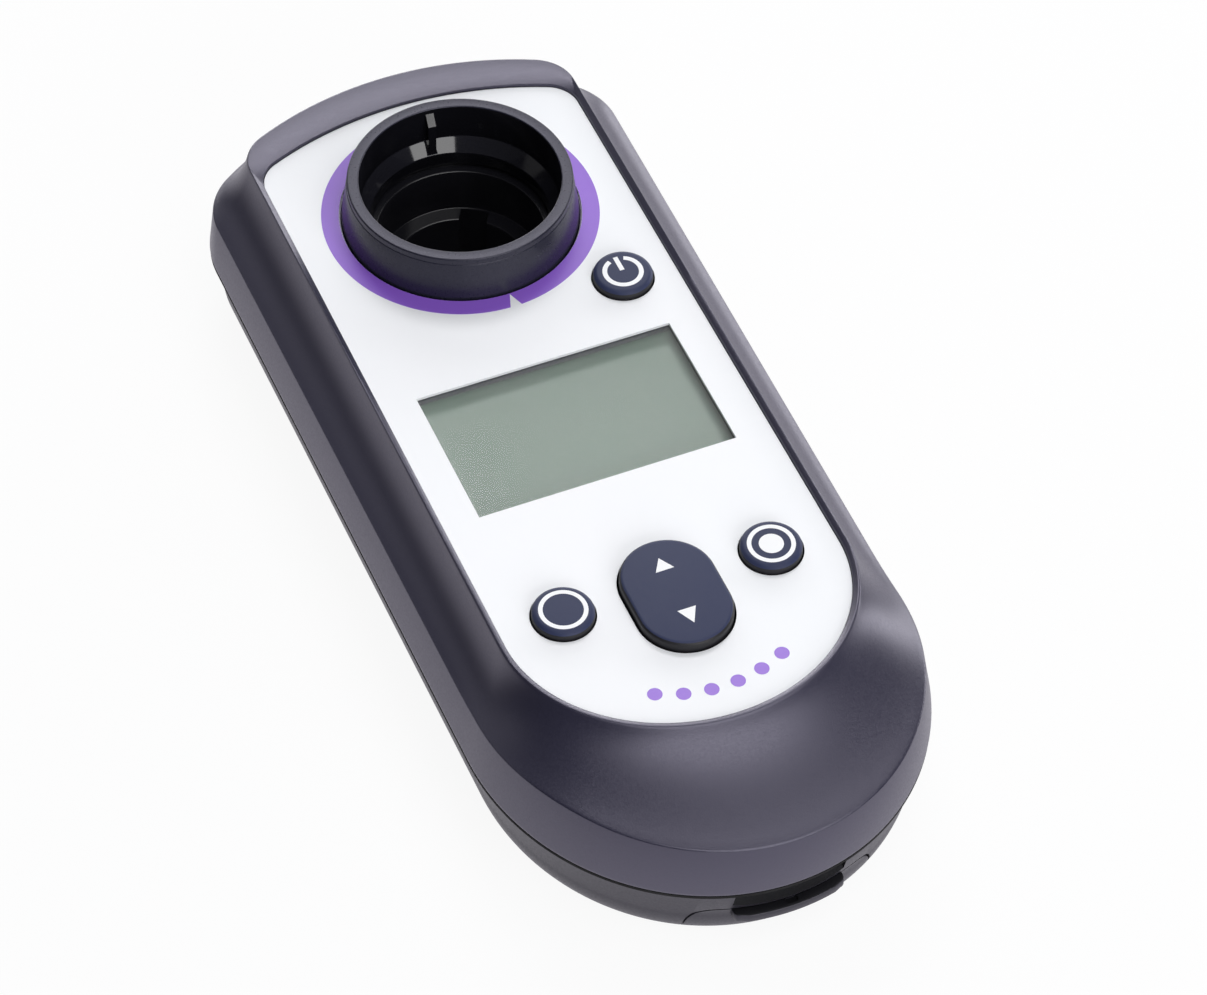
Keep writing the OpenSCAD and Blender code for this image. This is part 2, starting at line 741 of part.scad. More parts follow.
module vial_well() color("#232327") {
    neck_w = 2 * ear_pad_r - 1.4;
    translate([0, collar_y, 0]) difference() {
        union() {
            rotate(95) rod(well_out_r, well_low_z, collar_low_z);
            rotate(95) rod(flange_r, collar_low_z - well_flange_t, collar_low_z);
            for (a = ear_angles) rotate(a) {
                translate([ear_r, 0, 0]) rod(ear_pad_r, collar_low_z - well_flange_t, collar_low_z);
                translate([flange_r - 3, -neck_w / 2, collar_low_z - well_flange_t])
                    cube([ear_r - flange_r + 3, neck_w, well_flange_t]);
            }
        }
        rotate(95) rod(well_r, guide_z, collar_low_z + 1);
        rotate(95) rod(vial_r, well_floor_z, collar_low_z + 1);
        rotate(slot_turn) translate([0, -slot_w / 2, well_floor_z])
            cube([well_r - 0.5, slot_w, guide_z - well_floor_z + 1]);
        beam_bores(beam_r, vial_r - 2, well_out_r + 1);
        beam_bores(window_r, window_at, well_out_r + 1);
        for (a = ear_angles) rotate(a) translate([ear_r, 0, 0])
            rod(well_pilot_r + 0.1, collar_low_z - well_flange_t - 1, collar_low_z + 1);
    }
}

well_shank_r = 1.1;
well_head_r = 2;
well_head_h = 1.5;
well_screw_len = 5;

module well_screws() color("silver") {
    for (a = ear_angles) translate([ear_r * cos(a), collar_y + ear_r * sin(a), 0])
        screw(collar_low_z - well_flange_t, well_shank_r, well_screw_len, well_head_r, well_head_h);
}

module optic_windows() color("#dfe8ea", 0.5) {
    translate([0, collar_y, 0]) beam_bores(opto_r, window_at + 0.05, window_at + window_t);
}

opto_back_r = well_out_r + 2.4;
lead_w = 0.5;
lead_r = opto_back_r + 0.7;
optics_board_z = beam_z + opto_r + 4.6;
optics_board_t = 1.2;

// Round body that sits in a light channel, with two leads bent up to the optics board
module opto(front_r) {
    translate([front_r, 0, beam_z]) rotate([0, 90, 0])
        cylinder(r = opto_r, h = opto_back_r - front_r, $fn = 36);
    for (side = [-1, 1]) translate([0, side * 1.27, 0]) {
        translate([opto_back_r - eps, -lead_w / 2, beam_z - lead_w / 2])
            cube([lead_r - opto_back_r + lead_w, lead_w, lead_w]);
        translate([lead_r, -lead_w / 2, beam_z - lead_w / 2])
            cube([lead_w, lead_w, optics_board_z - beam_z + lead_w / 2]);
    }
}

module light_sources() color("#e8e4da") {
    translate([0, collar_y, 0]) for (a = source_angles) rotate(a) opto(window_at + window_t + 0.1);
}

module light_sensors() color("#4a3f3a") {
    translate([0, collar_y, 0]) for (a = sensor_angles) rotate(a) opto(window_at + window_t + 0.1);
}

optics_rim = 3.2;
optics_plug_in = 3.6;
optics_plug_l = 3;
optics_plug_h = 1.2;
optics_board_r = lead_r + optics_rim;

module optics_board() color("#1f5a3c") {
    translate([0, collar_y, 0]) {
        tube(optics_board_r, well_out_r + seat_gap, optics_board_z, optics_board_z + optics_board_t);
        translate([ribbon_x, -optics_board_r + optics_plug_in, 0])
            block(ribbon_w + 2, optics_plug_l, optics_board_z + optics_board_t,
                optics_board_z + optics_board_t + optics_plug_h);
    }
}

// Flat ribbon from the optics board to the connector under the main board
ribbon_low_z = optics_board_z + optics_board_t + optics_plug_h;
ribbon_high_z = board_low_z - plug_h - ribbon_t;
ribbon_lap = 5;
ribbon_drop_y = 6;
ribbon_back_y = collar_y - optics_board_r + ribbon_lap;
ribbon_front_y = nose_y + plug_from_nose - plug_l / 3;

module optics_ribbon() color("#d9d4c4") {
    translate([ribbon_x + ribbon_w / 2, 0, 0]) rotate([90, 0, -90]) linear_extrude(ribbon_w)
        polygon([[-ribbon_back_y, ribbon_low_z], [-ribbon_back_y + ribbon_drop_y, ribbon_low_z],
            [-ribbon_front_y - ribbon_lap, ribbon_high_z], [-ribbon_front_y, ribbon_high_z],
            [-ribbon_front_y, ribbon_high_z + ribbon_t],
            [-ribbon_front_y - ribbon_lap - 0.1, ribbon_high_z + ribbon_t],
            [-ribbon_back_y + ribbon_drop_y - 0.1, ribbon_low_z + ribbon_t],
            [-ribbon_back_y, ribbon_low_z + ribbon_t]]);
}

// Battery bay: tray, two cells side by side, contacts
door_in_z = under_z + door_t;
cell_z = door_in_z + 0.25 + cell_r;
cell_x = cell_r + cell_apart / 2;
bay_half = cell_x + cell_r + 0.6;
plate_gauge = 0.4;
bay_front_y = nose_y + 12.25;
bay_len = cell_len + spring_len + 2 * plate_gauge + 0.2;
bay_back_y = bay_front_y + bay_len;
tray_top_z = cell_z + cell_r + 0.4;
tray_flange_w = 3;
tray_flange_t = 1.2;

module tray_box(grown, z0, z1) {
    translate([-bay_half - grown, bay_front_y - grown, z0])
        cube([2 * (bay_half + grown), bay_len + 2 * grown, z1 - z0]);
}

module battery_tray() color("#3a3a40") {
    difference() {
        intersection() {
            base_solid(wall + 0.1, tray_top_z + tray_wall + 1);
            union() {
                tray_box(tray_wall, floor_z, tray_top_z + tray_wall);
                translate([-bay_half - tray_wall - tray_flange_w, bay_front_y - tray_wall, floor_z])
                    cube([2 * (bay_half + tray_wall + tray_flange_w), bay_len + 2 * tray_wall,
                        tray_flange_t]);
            }
        }
        tray_box(0, floor_z - 1, tray_top_z);
        for (side = [-1, 1]) translate([side * cell_x, bay_back_y - plate_gauge / 2, 0])
            block(4.4, plate_gauge + 0.2, tray_top_z - 1, tray_top_z + tray_wall + 1);
    }
}

// Each cell points the other way: the nub meets a plate, the flat end meets a spring
module cell() {
    nub_len = 1.2;
    rotate([-90, 0, 0]) {
        cylinder(r = cell_r, h = cell_len - nub_len, $fn = round_fn);
        cylinder(r = 2.6, h = cell_len, $fn = 36);
    }
}

cells_front_y = bay_front_y + plate_gauge + 0.1;

module battery_cells() color("#7b8790") {
    translate([-cell_x, cells_front_y + spring_len, cell_z]) cell();
    translate([cell_x, bay_back_y - plate_gauge - 0.1 - spring_len, cell_z]) rotate(180) cell();
}

spring_r = 3.4;
spring_wire = 0.3;
spring_turns = 3;
spring_sides = 6;
spring_rings = 42;

// Coil swept along +Y, tapering towards the cell
module coil() {
    climb = spring_len - 2 * spring_wire - 0.1;
    points = [for (i = [0 : spring_rings]) let(
        t = i / spring_rings,
        a = 360 * spring_turns * t,
        r = spring_r - 1.2 * t)
        for (k = [0 : spring_sides - 1]) let(
            b = 360 * k / spring_sides,
            rr = r + spring_wire * cos(b))
            [rr * cos(a), spring_wire + 0.05 + climb * t + spring_wire * sin(b), rr * sin(a)]];
    n = spring_sides;
    sides = [for (i = [0 : spring_rings - 1], k = [0 : n - 1]) let(m = (k + 1) % n)
        each [[i * n + k, (i + 1) * n + m, (i + 1) * n + k], [i * n + k, i * n + m, (i + 1) * n + m]]];
    polyhedron(points = points, faces = concat([[for (k = [n - 1 : -1 : 0]) k]], sides,
        [[for (k = [0 : n - 1]) spring_rings * n + k]]));
}

module contact_springs() color("silver") {
    translate([-cell_x, cells_front_y, cell_z]) coil();
    translate([cell_x, bay_back_y - plate_gauge - 0.1, cell_z]) rotate(180) coil();
}

module contact_plates() color("silver") {
    translate([-cell_x - 5, bay_front_y + 0.05, cell_z - 5])
        cube([2 * cell_x + 10, plate_gauge, 10]);
    for (side = [-1, 1]) translate([side * cell_x, bay_back_y - plate_gauge / 2 - 0.05, 0]) {
        block(10, plate_gauge, cell_z - 5, cell_z + 5);
        block(4, plate_gauge, cell_z, board_low_z);
    }
}

// Door: floor panel, tongue up the front wall, finger lip, and a knuckle with two hinge pins
tongue_corner = 5;
knuckle_r = 2.8;
hinge_z = under_z + knuckle_r;
hinge_y = bay_back_y + tray_wall + 1.6 + knuckle_r + door_gap;
pin_len = 2;
shroud = 1.6;
pocket_front_y = nose_y + 8.6;
lip_top_z = under_z + tongue_h;
scoop_r = 6;

// Front view outline of the door's tongue, with round upper corners
module tongue(extra) {
    half = door_w / 2 + extra;
    top = under_z + tongue_h + extra;
    translate([-half, -5]) square([2 * half, top + 5 - tongue_corner]);
    translate([tongue_corner - half, -5]) square([2 * (half - tongue_corner), top + 5]);
    for (side = [-1, 1]) translate([side * (half - tongue_corner), top - tongue_corner])
        circle(r = tongue_corner, $fn = round_fn);
}

module tongue_column(extra, from_y, to_y) {
    translate([0, to_y, 0]) rotate([90, 0, 0]) linear_extrude(to_y - from_y) tongue(extra);
}

module battery_door() color("#39383f") {
    difference() {
        union() {
            intersection() {
                base_solid(0, lower_edge_z);
                union() {
                    tongue_column(0, nose_y - 1, pocket_front_y - door_gap);
                    translate([-door_w / 2, pocket_front_y - 1, 0])
                        cube([door_w, hinge_y - pocket_front_y + 1, door_in_z]);
                }
            }
            translate([-door_w / 2, hinge_y, hinge_z]) rotate([0, 90, 0])
                cylinder(r = knuckle_r, h = door_w, $fn = round_fn);
            translate([-door_w / 2 - pin_len, hinge_y, hinge_z]) rotate([0, 90, 0])
                cylinder(r = pin_r, h = door_w + 2 * pin_len, $fn = round_fn);
            translate([0, 0, lip_top_z - lip_t]) linear_extrude(lip_t) difference() {
                intersection() {
                    polygon(ring(seam));
                    translate([-lip_len / 2, nose_y - 1]) square([lip_len, 12]);
                }
                polygon(ring(grow(seam, -4)));
            }
        }
        intersection() {
            base_solid(door_t, lower_edge_z);
            translate([-door_w / 2 + door_t, nose_y, door_in_z])
                cube([door_w - 2 * door_t, pocket_front_y - nose_y + eps, tongue_h - door_t - door_t]);
        }
        translate([0, (bay_front_y + bay_back_y) / 2, 0]) seal_ring(seat_gap, door_in_z - seal_groove);
    }
}

seal_w = 1.2;
seal_groove = 0.5;
seal_proud = 0.15;

// Flat ring that runs around the mouth of the tray
module seal_ring(extra, z0) {
    translate([0, 0, z0]) linear_extrude(seal_groove + seal_proud + extra) difference() {
        square([2 * bay_half + 2 * tray_wall + 2 * extra, bay_len + 2 * tray_wall + 2 * extra], center = true);
        square([2 * bay_half + 2 * tray_wall - 2 * seal_w - 2 * extra,
            bay_len + 2 * tray_wall - 2 * seal_w - 2 * extra], center = true);
    }
}

module door_seal() color("#16161a") {
    translate([0, (bay_front_y + bay_back_y) / 2, 0]) seal_ring(0, door_in_z - seal_groove);
}

// Lower housing with its door opening, shrouds, screw bosses and finger scoop
module lower_solids() {
    each_mirrored(case_screw_at) rod(case_boss_r, 0, lower_edge_z);
    tongue_column(door_gap + shroud, nose_y, pocket_front_y + shroud);
    translate([-lip_len / 2 - shroud, nose_y, under_z])
        cube([lip_len + 2 * shroud, 7.5, lower_edge_z - under_z]);
    translate([-door_w / 2 - door_gap - pin_len - shroud, hinge_y - knuckle_r - door_gap - shroud, 0])
        cube([door_w + 2 * (door_gap + pin_len + shroud), 2 * (knuckle_r + door_gap + shroud),
            hinge_z + knuckle_r + door_gap + shroud]);
}

module lower_housing() color("#35343b") {
    difference() {
        base_solid(0, lower_edge_z);
        difference() {
            union() {
                base_solid(wall, lower_edge_z);
                translate([0, 0, lower_edge_z - eps]) linear_extrude(1)
                    polygon(ring(grow(seam, -wall - 0.1)));
            }
            lower_solids();
        }
        tongue_column(door_gap, nose_y - 1, pocket_front_y);
        translate([-door_w / 2 - door_gap, pocket_front_y - eps, -1])
            cube([door_w + 2 * door_gap, hinge_y + knuckle_r + door_gap - pocket_front_y, floor_z + 1]);
        translate([-door_w / 2 - door_gap, hinge_y - knuckle_r - door_gap, -1])
            cube([door_w + 2 * door_gap, 2 * (knuckle_r + door_gap), hinge_z + knuckle_r + door_gap + 1]);
        translate([-door_w / 2 - pin_len - door_gap, hinge_y, hinge_z]) rotate([0, 90, 0])
            cylinder(r = pin_r + pin_gap, h = door_w + 2 * (pin_len + door_gap), $fn = round_fn);
        translate([-lip_len / 2, nose_y - 1.45, lower_edge_z + 0.2]) rotate([0, 90, 0])
            cylinder(r = scoop_r, h = lip_len, $fn = round_fn);
        each_mirrored(case_screw_at) {
            rod(case_head_r + 0.3, -1, case_ledge_z);
            rod(case_shank_r + 0.2, case_ledge_z - 1, lower_edge_z + 1);
        }
        each_mirrored(foot_at) rod(foot_r + seat_gap, -1, under_z + foot_recess);
    }
}

module rubber_feet() color("#1a1a1d") {
    each_mirrored(foot_at) rod(foot_r, 0, under_z + foot_recess);
}

upper_housing();
lower_housing();
housing_gasket();
face_plate();
window_lens();
display_cushion();
display_glass();
display_backlight();
display_frame();
display_connectors();
keypad_sheet();
power_key();
left_key();
right_key();
rocker_key();
rocker_fulcrum();
key_switches();
main_board();
board_components();
board_screws();
vial_collar();
collar_seal();
vial_well();
well_screws();
optic_windows();
light_sources();
light_sensors();
optics_board();
optics_ribbon();
battery_tray();
battery_cells();
contact_springs();
contact_plates();
battery_door();
door_seal();
case_screws();
rubber_feet();
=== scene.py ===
# Looks of the hand-held pool water photometer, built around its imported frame.
# Millimetres and names follow the part's source: +Y from nose to collar, +Z up, origin on the table.
import math

import bmesh
import bpy
from mathutils import Matrix, Vector

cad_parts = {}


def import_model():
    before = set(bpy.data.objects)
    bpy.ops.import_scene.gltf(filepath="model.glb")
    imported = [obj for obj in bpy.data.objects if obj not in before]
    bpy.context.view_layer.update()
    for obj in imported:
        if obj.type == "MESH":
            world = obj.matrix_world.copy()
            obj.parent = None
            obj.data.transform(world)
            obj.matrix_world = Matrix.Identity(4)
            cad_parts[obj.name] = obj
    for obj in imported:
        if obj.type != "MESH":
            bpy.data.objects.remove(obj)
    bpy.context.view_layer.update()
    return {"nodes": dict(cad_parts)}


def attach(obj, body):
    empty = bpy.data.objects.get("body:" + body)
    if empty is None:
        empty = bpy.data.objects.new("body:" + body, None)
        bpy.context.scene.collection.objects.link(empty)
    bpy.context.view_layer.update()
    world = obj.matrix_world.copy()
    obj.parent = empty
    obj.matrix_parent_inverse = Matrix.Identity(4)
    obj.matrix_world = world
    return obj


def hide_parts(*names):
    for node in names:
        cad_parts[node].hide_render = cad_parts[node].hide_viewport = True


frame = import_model()
scene = bpy.context.scene
MM = 0.001

# Camera: solved from the corners and circles of the face plate
CAMERA_AT = (-224.4, -519.45, 667.0)
CAMERA_TURN = (2.3936, -0.48, 0.1984)
CAMERA_LENS, FILM_WIDTH = 139.8, 36


def place_camera():
    data = bpy.data.cameras.new("photo_camera")
    data.sensor_width = FILM_WIDTH
    data.lens = CAMERA_LENS
    data.clip_start, data.clip_end = 0.05, 20
    camera = bpy.data.objects.new("photo_camera", data)
    scene.collection.objects.link(camera)
    turn = Vector(CAMERA_TURN)
    world_to_view = Matrix.Rotation(turn.length, 3, turn.normalized())
    flip = Matrix(((1, 0, 0), (0, -1, 0), (0, 0, -1)))
    camera.matrix_world = (flip @ world_to_view).transposed().to_4x4()
    camera.location = Vector(CAMERA_AT) * MM
    scene.camera = camera


place_camera()

# Heights above the table and places along the body
UNDER, FACE, POCKET, CEILING, RIM, RIDGE, FLOOR = 0.8, 33.3, 32.7, 30.7, 33.9, 34.5, 3.0
UPPER_EDGE, LOWER_EDGE, BEND = 15.5, 14.9, 7.9
NOSE, BACK = -100.4, 100.4
WALL = 2.2
BASE_DRAFT, BASE_ROUND, BASE_TUCK = 0.31, 7.1, 3.5
WINDOW_Y, WINDOW_W, WINDOW_H, LENS_T = NOSE + 98.15, 50.0, 30.5, 1.0
KEY_X, KEY_Y, KEY_R, KEY_PROUD = 19.9, NOSE + 56.45, 5.65, 1.7
POWER_X, POWER_Y = 21.65, NOSE + 127.1
ROCKER_Y, ROCKER_W, ROCKER_L, ROCKER_PROUD = NOSE + 52.65, 17.4, 24.6, 2.0
COLLAR_Y, COLLAR_H = NOSE + 154.15, 9.2
MOUTH_R, MOUTH_DEPTH, THROAT_R, COLLAR_DROP = 18.95, 7.8, 17.7, 5.2
COLLAR_TOP_R, COLLAR_BASE_R = 21.2, 22.4
WELL_R, GUIDE_Z, VIAL_R, WELL_FLOOR, BEAM_Z = 15.8, 18.3, 12.6, 5.8, 11.8
FLANGE_LOW, FLANGE_TOP, KEY_FLANGE_R = 28.95, 29.95, 7.0
KEY_GAP, ROCKER_GAP = 0.3, 0.4
COLLAR_FLANGE_R, COLLAR_FLANGE_Z = 25.2, 29.7
KEY_STEM_Z, KEY_STEM_R, SWITCH_TOP = 28.3, 1.8, 27.4
BOARD_TOP = 24.3
DOOR_W, DOOR_T, DOOR_GAP, TONGUE_H = 35.0, 1.8, 0.3, 8.5
LIP_LEN, LIP_T, SCOOP_R = 21.0, 2.0, 6.0
BAY_FRONT, BAY_BACK, BAY_HALF = NOSE + 12.25, NOSE + 67.65, 15.35
HINGE_Y, HINGE_Z, KNUCKLE_R, PIN_R, PIN_GAP = -26.55, 3.6, 2.8, 1.2, 0.06
POCKET_FRONT = NOSE + 8.6

# A section is half width, front, back, nose length, back arc radius, corner radius and flare
SEAM = (42.4, NOSE, BACK, 46.0, 58.0, 20.5, 0.5)
CREASE = (40.15, NOSE + 0.1, BACK - 1.8, 46.0, 58.0, 14.5, 1.0)
RIDGE_RING = (33.15, NOSE + 23.95, BACK - 8.4, 29.835, 66.0, 8.5, 0.0)
PLATE = (31.85, NOSE + 25.25, BACK - 15.95, 28.535, 70.0, 6.5, 0.0)
CORNER_STEPS, CROWN_STEPS, SIDE_STEPS, NOSE_STEPS = 20, 24, 48, 96


def grow(section, by):
    half, front, back, nose, crown, corner, flare = section
    return (half + by, front - by, back + by, nose + by, crown + by, corner + by, flare)


def blend(a, b, t):
    return tuple(x * (1 - t) + y * t for x, y in zip(a, b))


def ring(section):
    half, front, back, nose, crown, corner, flare = section
    ellipse_y, arc_y, corner_x = front + nose, back - crown, half - corner
    corner_y = arc_y + math.sqrt((crown - corner) ** 2 - corner_x ** 2)
    turn = math.atan2(corner_y - arc_y, corner_x)
    points = []
    for i in range(CORNER_STEPS + 1):
        a = turn * i / CORNER_STEPS
        points.append((corner_x + corner * math.cos(a), corner_y + corner * math.sin(a)))
    for i in range(1, CROWN_STEPS):
        a = turn + (math.pi - 2 * turn) * i / CROWN_STEPS
        points.append((crown * math.cos(a), arc_y + crown * math.sin(a)))
    for i in range(CORNER_STEPS, -1, -1):
        a = turn * i / CORNER_STEPS
        points.append((-corner_x - corner * math.cos(a), corner_y + corner * math.sin(a)))
    for i in range(1, SIDE_STEPS):
        points.append((-half, corner_y + (ellipse_y - corner_y) * i / SIDE_STEPS))
    for i in range(NOSE_STEPS + 1):
        a = math.pi * (1 + i / NOSE_STEPS)
        points.append((half * math.cos(a), ellipse_y + nose * math.sin(a)))
    for i in range(1, SIDE_STEPS):
        points.append((half, ellipse_y + (corner_y - ellipse_y) * i / SIDE_STEPS))
    widened = []
    for x, y in points:
        far = max(0.0, (y - ellipse_y) / (back - ellipse_y))
        widened.append((x * (1 + flare * far / half), y))
    return widened


def level(section, z):
    return [Vector((x, y, z)) for x, y in ring(section)]


# The crease climbs on its way to the nose, from the start of the climb over its length
CREASE_DROP, CREASE_CLIMB, CLIMB_START, CLIMB_LEN = 9.5, 4.3, NOSE + 56.2, 40.0
# Pull of the cove's middle point outwards and downwards, as shares
COVE_OUT, COVE_DOWN = 0.26, 0.74


def crease_height(y):
    t = max(0.0, min(1.0, (CLIMB_START - y) / CLIMB_LEN))
    return FACE - CREASE_DROP + CREASE_CLIMB * t * t * (3 - 2 * t)


CREASE_LINE = [Vector((x, y, crease_height(y))) for x, y in ring(CREASE)]


def cove(t, inward=0.0):
    """Level of the shoulder between ridge (0) and crease (1), or the inside of its wall."""
    u = 2 * (1 - t) * t * COVE_OUT + t * t
    v = 2 * (1 - t) * t * COVE_DOWN + t * t
    around = ring(grow(blend(RIDGE_RING, CREASE, u), -inward))
    return [Vector((x, y, RIDGE + (low.z - RIDGE) * v - inward))
            for (x, y), low in zip(around, CREASE_LINE)]


def towards(a, b, distance):
    """Level that lies a distance from level a on the way to level b."""
    return [p + (q - p).normalized() * min(distance, (q - p).length * 0.49) for p, q in zip(a, b)]


def rounded(a, corner, b, steps=4):
    """Levels that turn smoothly from a to b instead of meeting in the corner level."""
    made = []
    for i in range(steps + 1):
        t = i / steps
        made.append([p * (1 - t) ** 2 + c * 2 * t * (1 - t) + q * t * t
                     for p, c, q in zip(a, corner, b)])
    return made


# Mesh parts are (vertices in mm, faces) until they become a piece
def loft(levels):
    n = len(levels[0])
    verts = [v for row in levels for v in row]
    faces = [tuple(range(n - 1, -1, -1)), tuple((len(levels) - 1) * n + j for j in range(n))]
    for i in range(len(levels) - 1):
        for j in range(n):
            k = (j + 1) % n
            faces.append((i * n + j, i * n + k, (i + 1) * n + k, (i + 1) * n + j))
    return verts, faces


def prism(outline, low, high):
    return loft([[Vector((x, y, z)) for x, y in outline] for z in (low, high)])


def box(x0, x1, y0, y1, z0, z1):
    return prism([(x0, y0), (x1, y0), (x1, y1), (x0, y1)], z0, z1)


def block(w, l, y, z0, z1):
    """Box of a width and length, centred on x 0 and on y."""
    return box(-w / 2, w / 2, y - l / 2, y + l / 2, z0, z1)


def disc(r, low, high, at=(0.0, 0.0), steps=96):
    return prism([(at[0] + r * math.cos(2 * math.pi * i / steps),
                   at[1] + r * math.sin(2 * math.pi * i / steps)) for i in range(steps)], low, high)


def lathe(profile, at=(0.0, 0.0), steps=160, closed=True):
    """Turns (radius, height) points about a vertical axis. An open profile starts and ends on it."""
    n = len(profile)
    verts = [Vector((at[0] + r * math.cos(2 * math.pi * i / steps),
                     at[1] + r * math.sin(2 * math.pi * i / steps), z))
             for i in range(steps) for r, z in profile]
    faces = []
    for i in range(steps):
        k = (i + 1) % steps
        for j in range(n if closed else n - 1):
            m = (j + 1) % n
            faces.append((i * n + j, k * n + j, k * n + m, i * n + m))
    return verts, faces


def moved(part, matrix):
    return [matrix @ v for v in part[0]], part[1]


def shifted(part, x=0.0, y=0.0, z=0.0):
    return moved(part, Matrix.Translation((x, y, z)))


def turned(part, degrees, axis="Z"):
    return moved(part, Matrix.Rotation(math.radians(degrees), 4, axis))


def joined(*parts):
    verts, faces = [], []
    for v, f in parts:
        start = len(verts)
        verts.extend(v)
        faces.extend(tuple(i + start for i in face) for face in f)
    return verts, faces


def soften(points, radii, steps=5):
    """Closed outline with its corners rounded by quadratic curves."""
    made = []
    n = len(points)
    for i, (p, r) in enumerate(zip(points, radii)):
        p = Vector(p)
        if r <= 0:
            made.append(tuple(p))
            continue
        before, after = Vector(points[i - 1]), Vector(points[(i + 1) % n])
        a = p + (before - p).normalized() * r
        b = p + (after - p).normalized() * r
        for k in range(steps + 1):
            t = k / steps
            made.append(tuple(a * (1 - t) ** 2 + p * 2 * t * (1 - t) + b * t * t))
    return made


def capsule(w, l, at=(0.0, 0.0), steps=40):
    reach = (l - w) / 2
    points = []
    for side, start in ((1, 0.0), (-1, math.pi)):
        for i in range(steps + 1):
            a = start + math.pi * i / steps
            points.append((at[0] + w / 2 * math.cos(a), at[1] + side * reach + w / 2 * math.sin(a)))
    return points


def mesh_object(name, part):
    verts, faces = part
    mesh = bpy.data.meshes.new(name)
    mesh.from_pydata([tuple(v * MM) for v in map(Vector, verts)], [], faces)
    work = bmesh.new()
    work.from_mesh(mesh)
    bmesh.ops.remove_doubles(work, verts=work.verts, dist=2e-7)
    bmesh.ops.dissolve_degenerate(work, edges=work.edges, dist=1e-7)
    bmesh.ops.recalc_face_normals(work, faces=work.faces)
    work.to_mesh(mesh)
    work.free()
    made = bpy.data.objects.new(name, mesh)
    scene.collection.objects.link(made)
    return made


def settled(obj):
    """Turns what the modifiers make into the object's own mesh and takes them off."""
    mesh = bpy.data.meshes.new_from_object(obj.evaluated_get(bpy.context.evaluated_depsgraph_get()))
    obj.modifiers.clear()
    old, obj.data = obj.data, mesh
    bpy.data.meshes.remove(old)
    obj.data.name = obj.name
    return obj


def carve(obj, part, operation="DIFFERENCE"):
    tool = mesh_object("tool", part)
    modifier = obj.modifiers.new("carve", "BOOLEAN")
    modifier.operation = operation
    modifier.solver = "EXACT"
    modifier.object = tool
    settled(obj)
    bpy.data.objects.remove(tool)
    return obj


def taken(obj):
    """Mesh part of an object that is no longer needed as one."""
    part = ([v.co / MM for v in obj.data.vertices], [tuple(p.vertices) for p in obj.data.polygons])
    bpy.data.objects.remove(obj)
    return part


def smooth(obj, angle=32.0):
    """Smooth shading that stays crisp along edges sharper than the angle."""
    work = bmesh.new()
    work.from_mesh(obj.data)
    limit = math.radians(angle)
    for face in work.faces:
        face.smooth = True
    for edge in work.edges:
        edge.smooth = len(edge.link_faces) == 2 and edge.calc_face_angle(0.0) < limit
    work.to_mesh(obj.data)
    work.free()
    return obj


def fitted(obj, body, slot, *materials, nodes=()):
    """Gives a finished piece its materials and its body, and hides the nodes it replaces. The slot is not
    used.
    """
    for material in materials:
        obj.data.materials.append(material)
    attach(obj, body)
    if nodes:
        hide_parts(*nodes)
    return obj


def paint(obj, index, test):
    """Gives material number index to the faces whose middle, in mm, and normal pass the test."""
    for polygon in obj.data.polygons:
        if test(polygon.center / MM, polygon.normal):
            polygon.material_index = index
    return obj


# Materials
def linear(code):
    parts = [int(code[i:i + 2], 16) / 255 for i in (1, 3, 5)]
    return tuple(c / 12.92 if c <= 0.04045 else ((c + 0.055) / 1.055) ** 2.4 for c in parts) + (1.0,)


def add_node(tree, kind, inputs=None, **settings):
    """New node whose inputs are set to a value, or linked where a socket is given."""
    made = tree.nodes.new(kind)
    for name, value in settings.items():
        setattr(made, name, value)
    for name, value in (inputs or {}).items():
        if isinstance(value, bpy.types.NodeSocket):
            tree.links.new(value, made.inputs[name])
        else:
            made.inputs[name].default_value = value
    return made


def maths(tree, operation, *values, kind="ShaderNodeMath"):
    return add_node(tree, kind, dict(enumerate(values)), operation=operation).outputs[0]


def new_surface(name, **constants):
    """Material with a Principled shader whose even values are set on its own sockets."""
    material = bpy.data.materials.new(name)
    material.use_nodes = True
    tree = material.node_tree
    tree.nodes.clear()
    shader = add_node(tree, "ShaderNodeBsdfPrincipled",
                      {key.replace("_", " "): value for key, value in constants.items()})
    add_node(tree, "ShaderNodeOutputMaterial", {"Surface": shader.outputs[0]})
    place = add_node(tree, "ShaderNodeTexCoord").outputs["Object"]
    return material, tree, shader, place


def noise(tree, place, size_mm, detail=2.0, roughness=0.5):
    return add_node(tree, "ShaderNodeTexNoise", {"Vector": place, "Scale": 1000 / size_mm,
                    "Detail": detail, "Roughness": roughness}).outputs["Fac"]


def spread(tree, socket, low, high, start=0.3, end=0.7):
    return add_node(tree, "ShaderNodeMapRange", {"Value": socket, "From Min": start, "From Max": end,
                    "To Min": low, "To Max": high}).outputs["Result"]


def two_tone(tree, factor, first, second):
    return add_node(tree, "ShaderNodeMix", {0: factor, 6: linear(first), 7: linear(second)},
                    data_type="RGBA").outputs[2]


def dress(tree, shader, base, shade, tone, rough=None, relief=None, steps=(0.3, 0.7)):
    """Mixes two colours by the tone pattern. Rough is a pattern with its low and high roughness,
    and relief is a pattern with its depth in mm and its strength."""
    colour = two_tone(tree, spread(tree, tone, 0, 1, *steps), base, shade)
    tree.links.new(colour, shader.inputs["Base Color"])
    if rough:
        tree.links.new(spread(tree, *rough), shader.inputs["Roughness"])
    if relief:
        pattern, depth_mm, strength = relief
        raised = add_node(tree, "ShaderNodeBump", {"Height": pattern, "Distance": depth_mm * MM,
                          "Strength": strength})
        tree.links.new(raised.outputs[0], shader.inputs["Normal"])


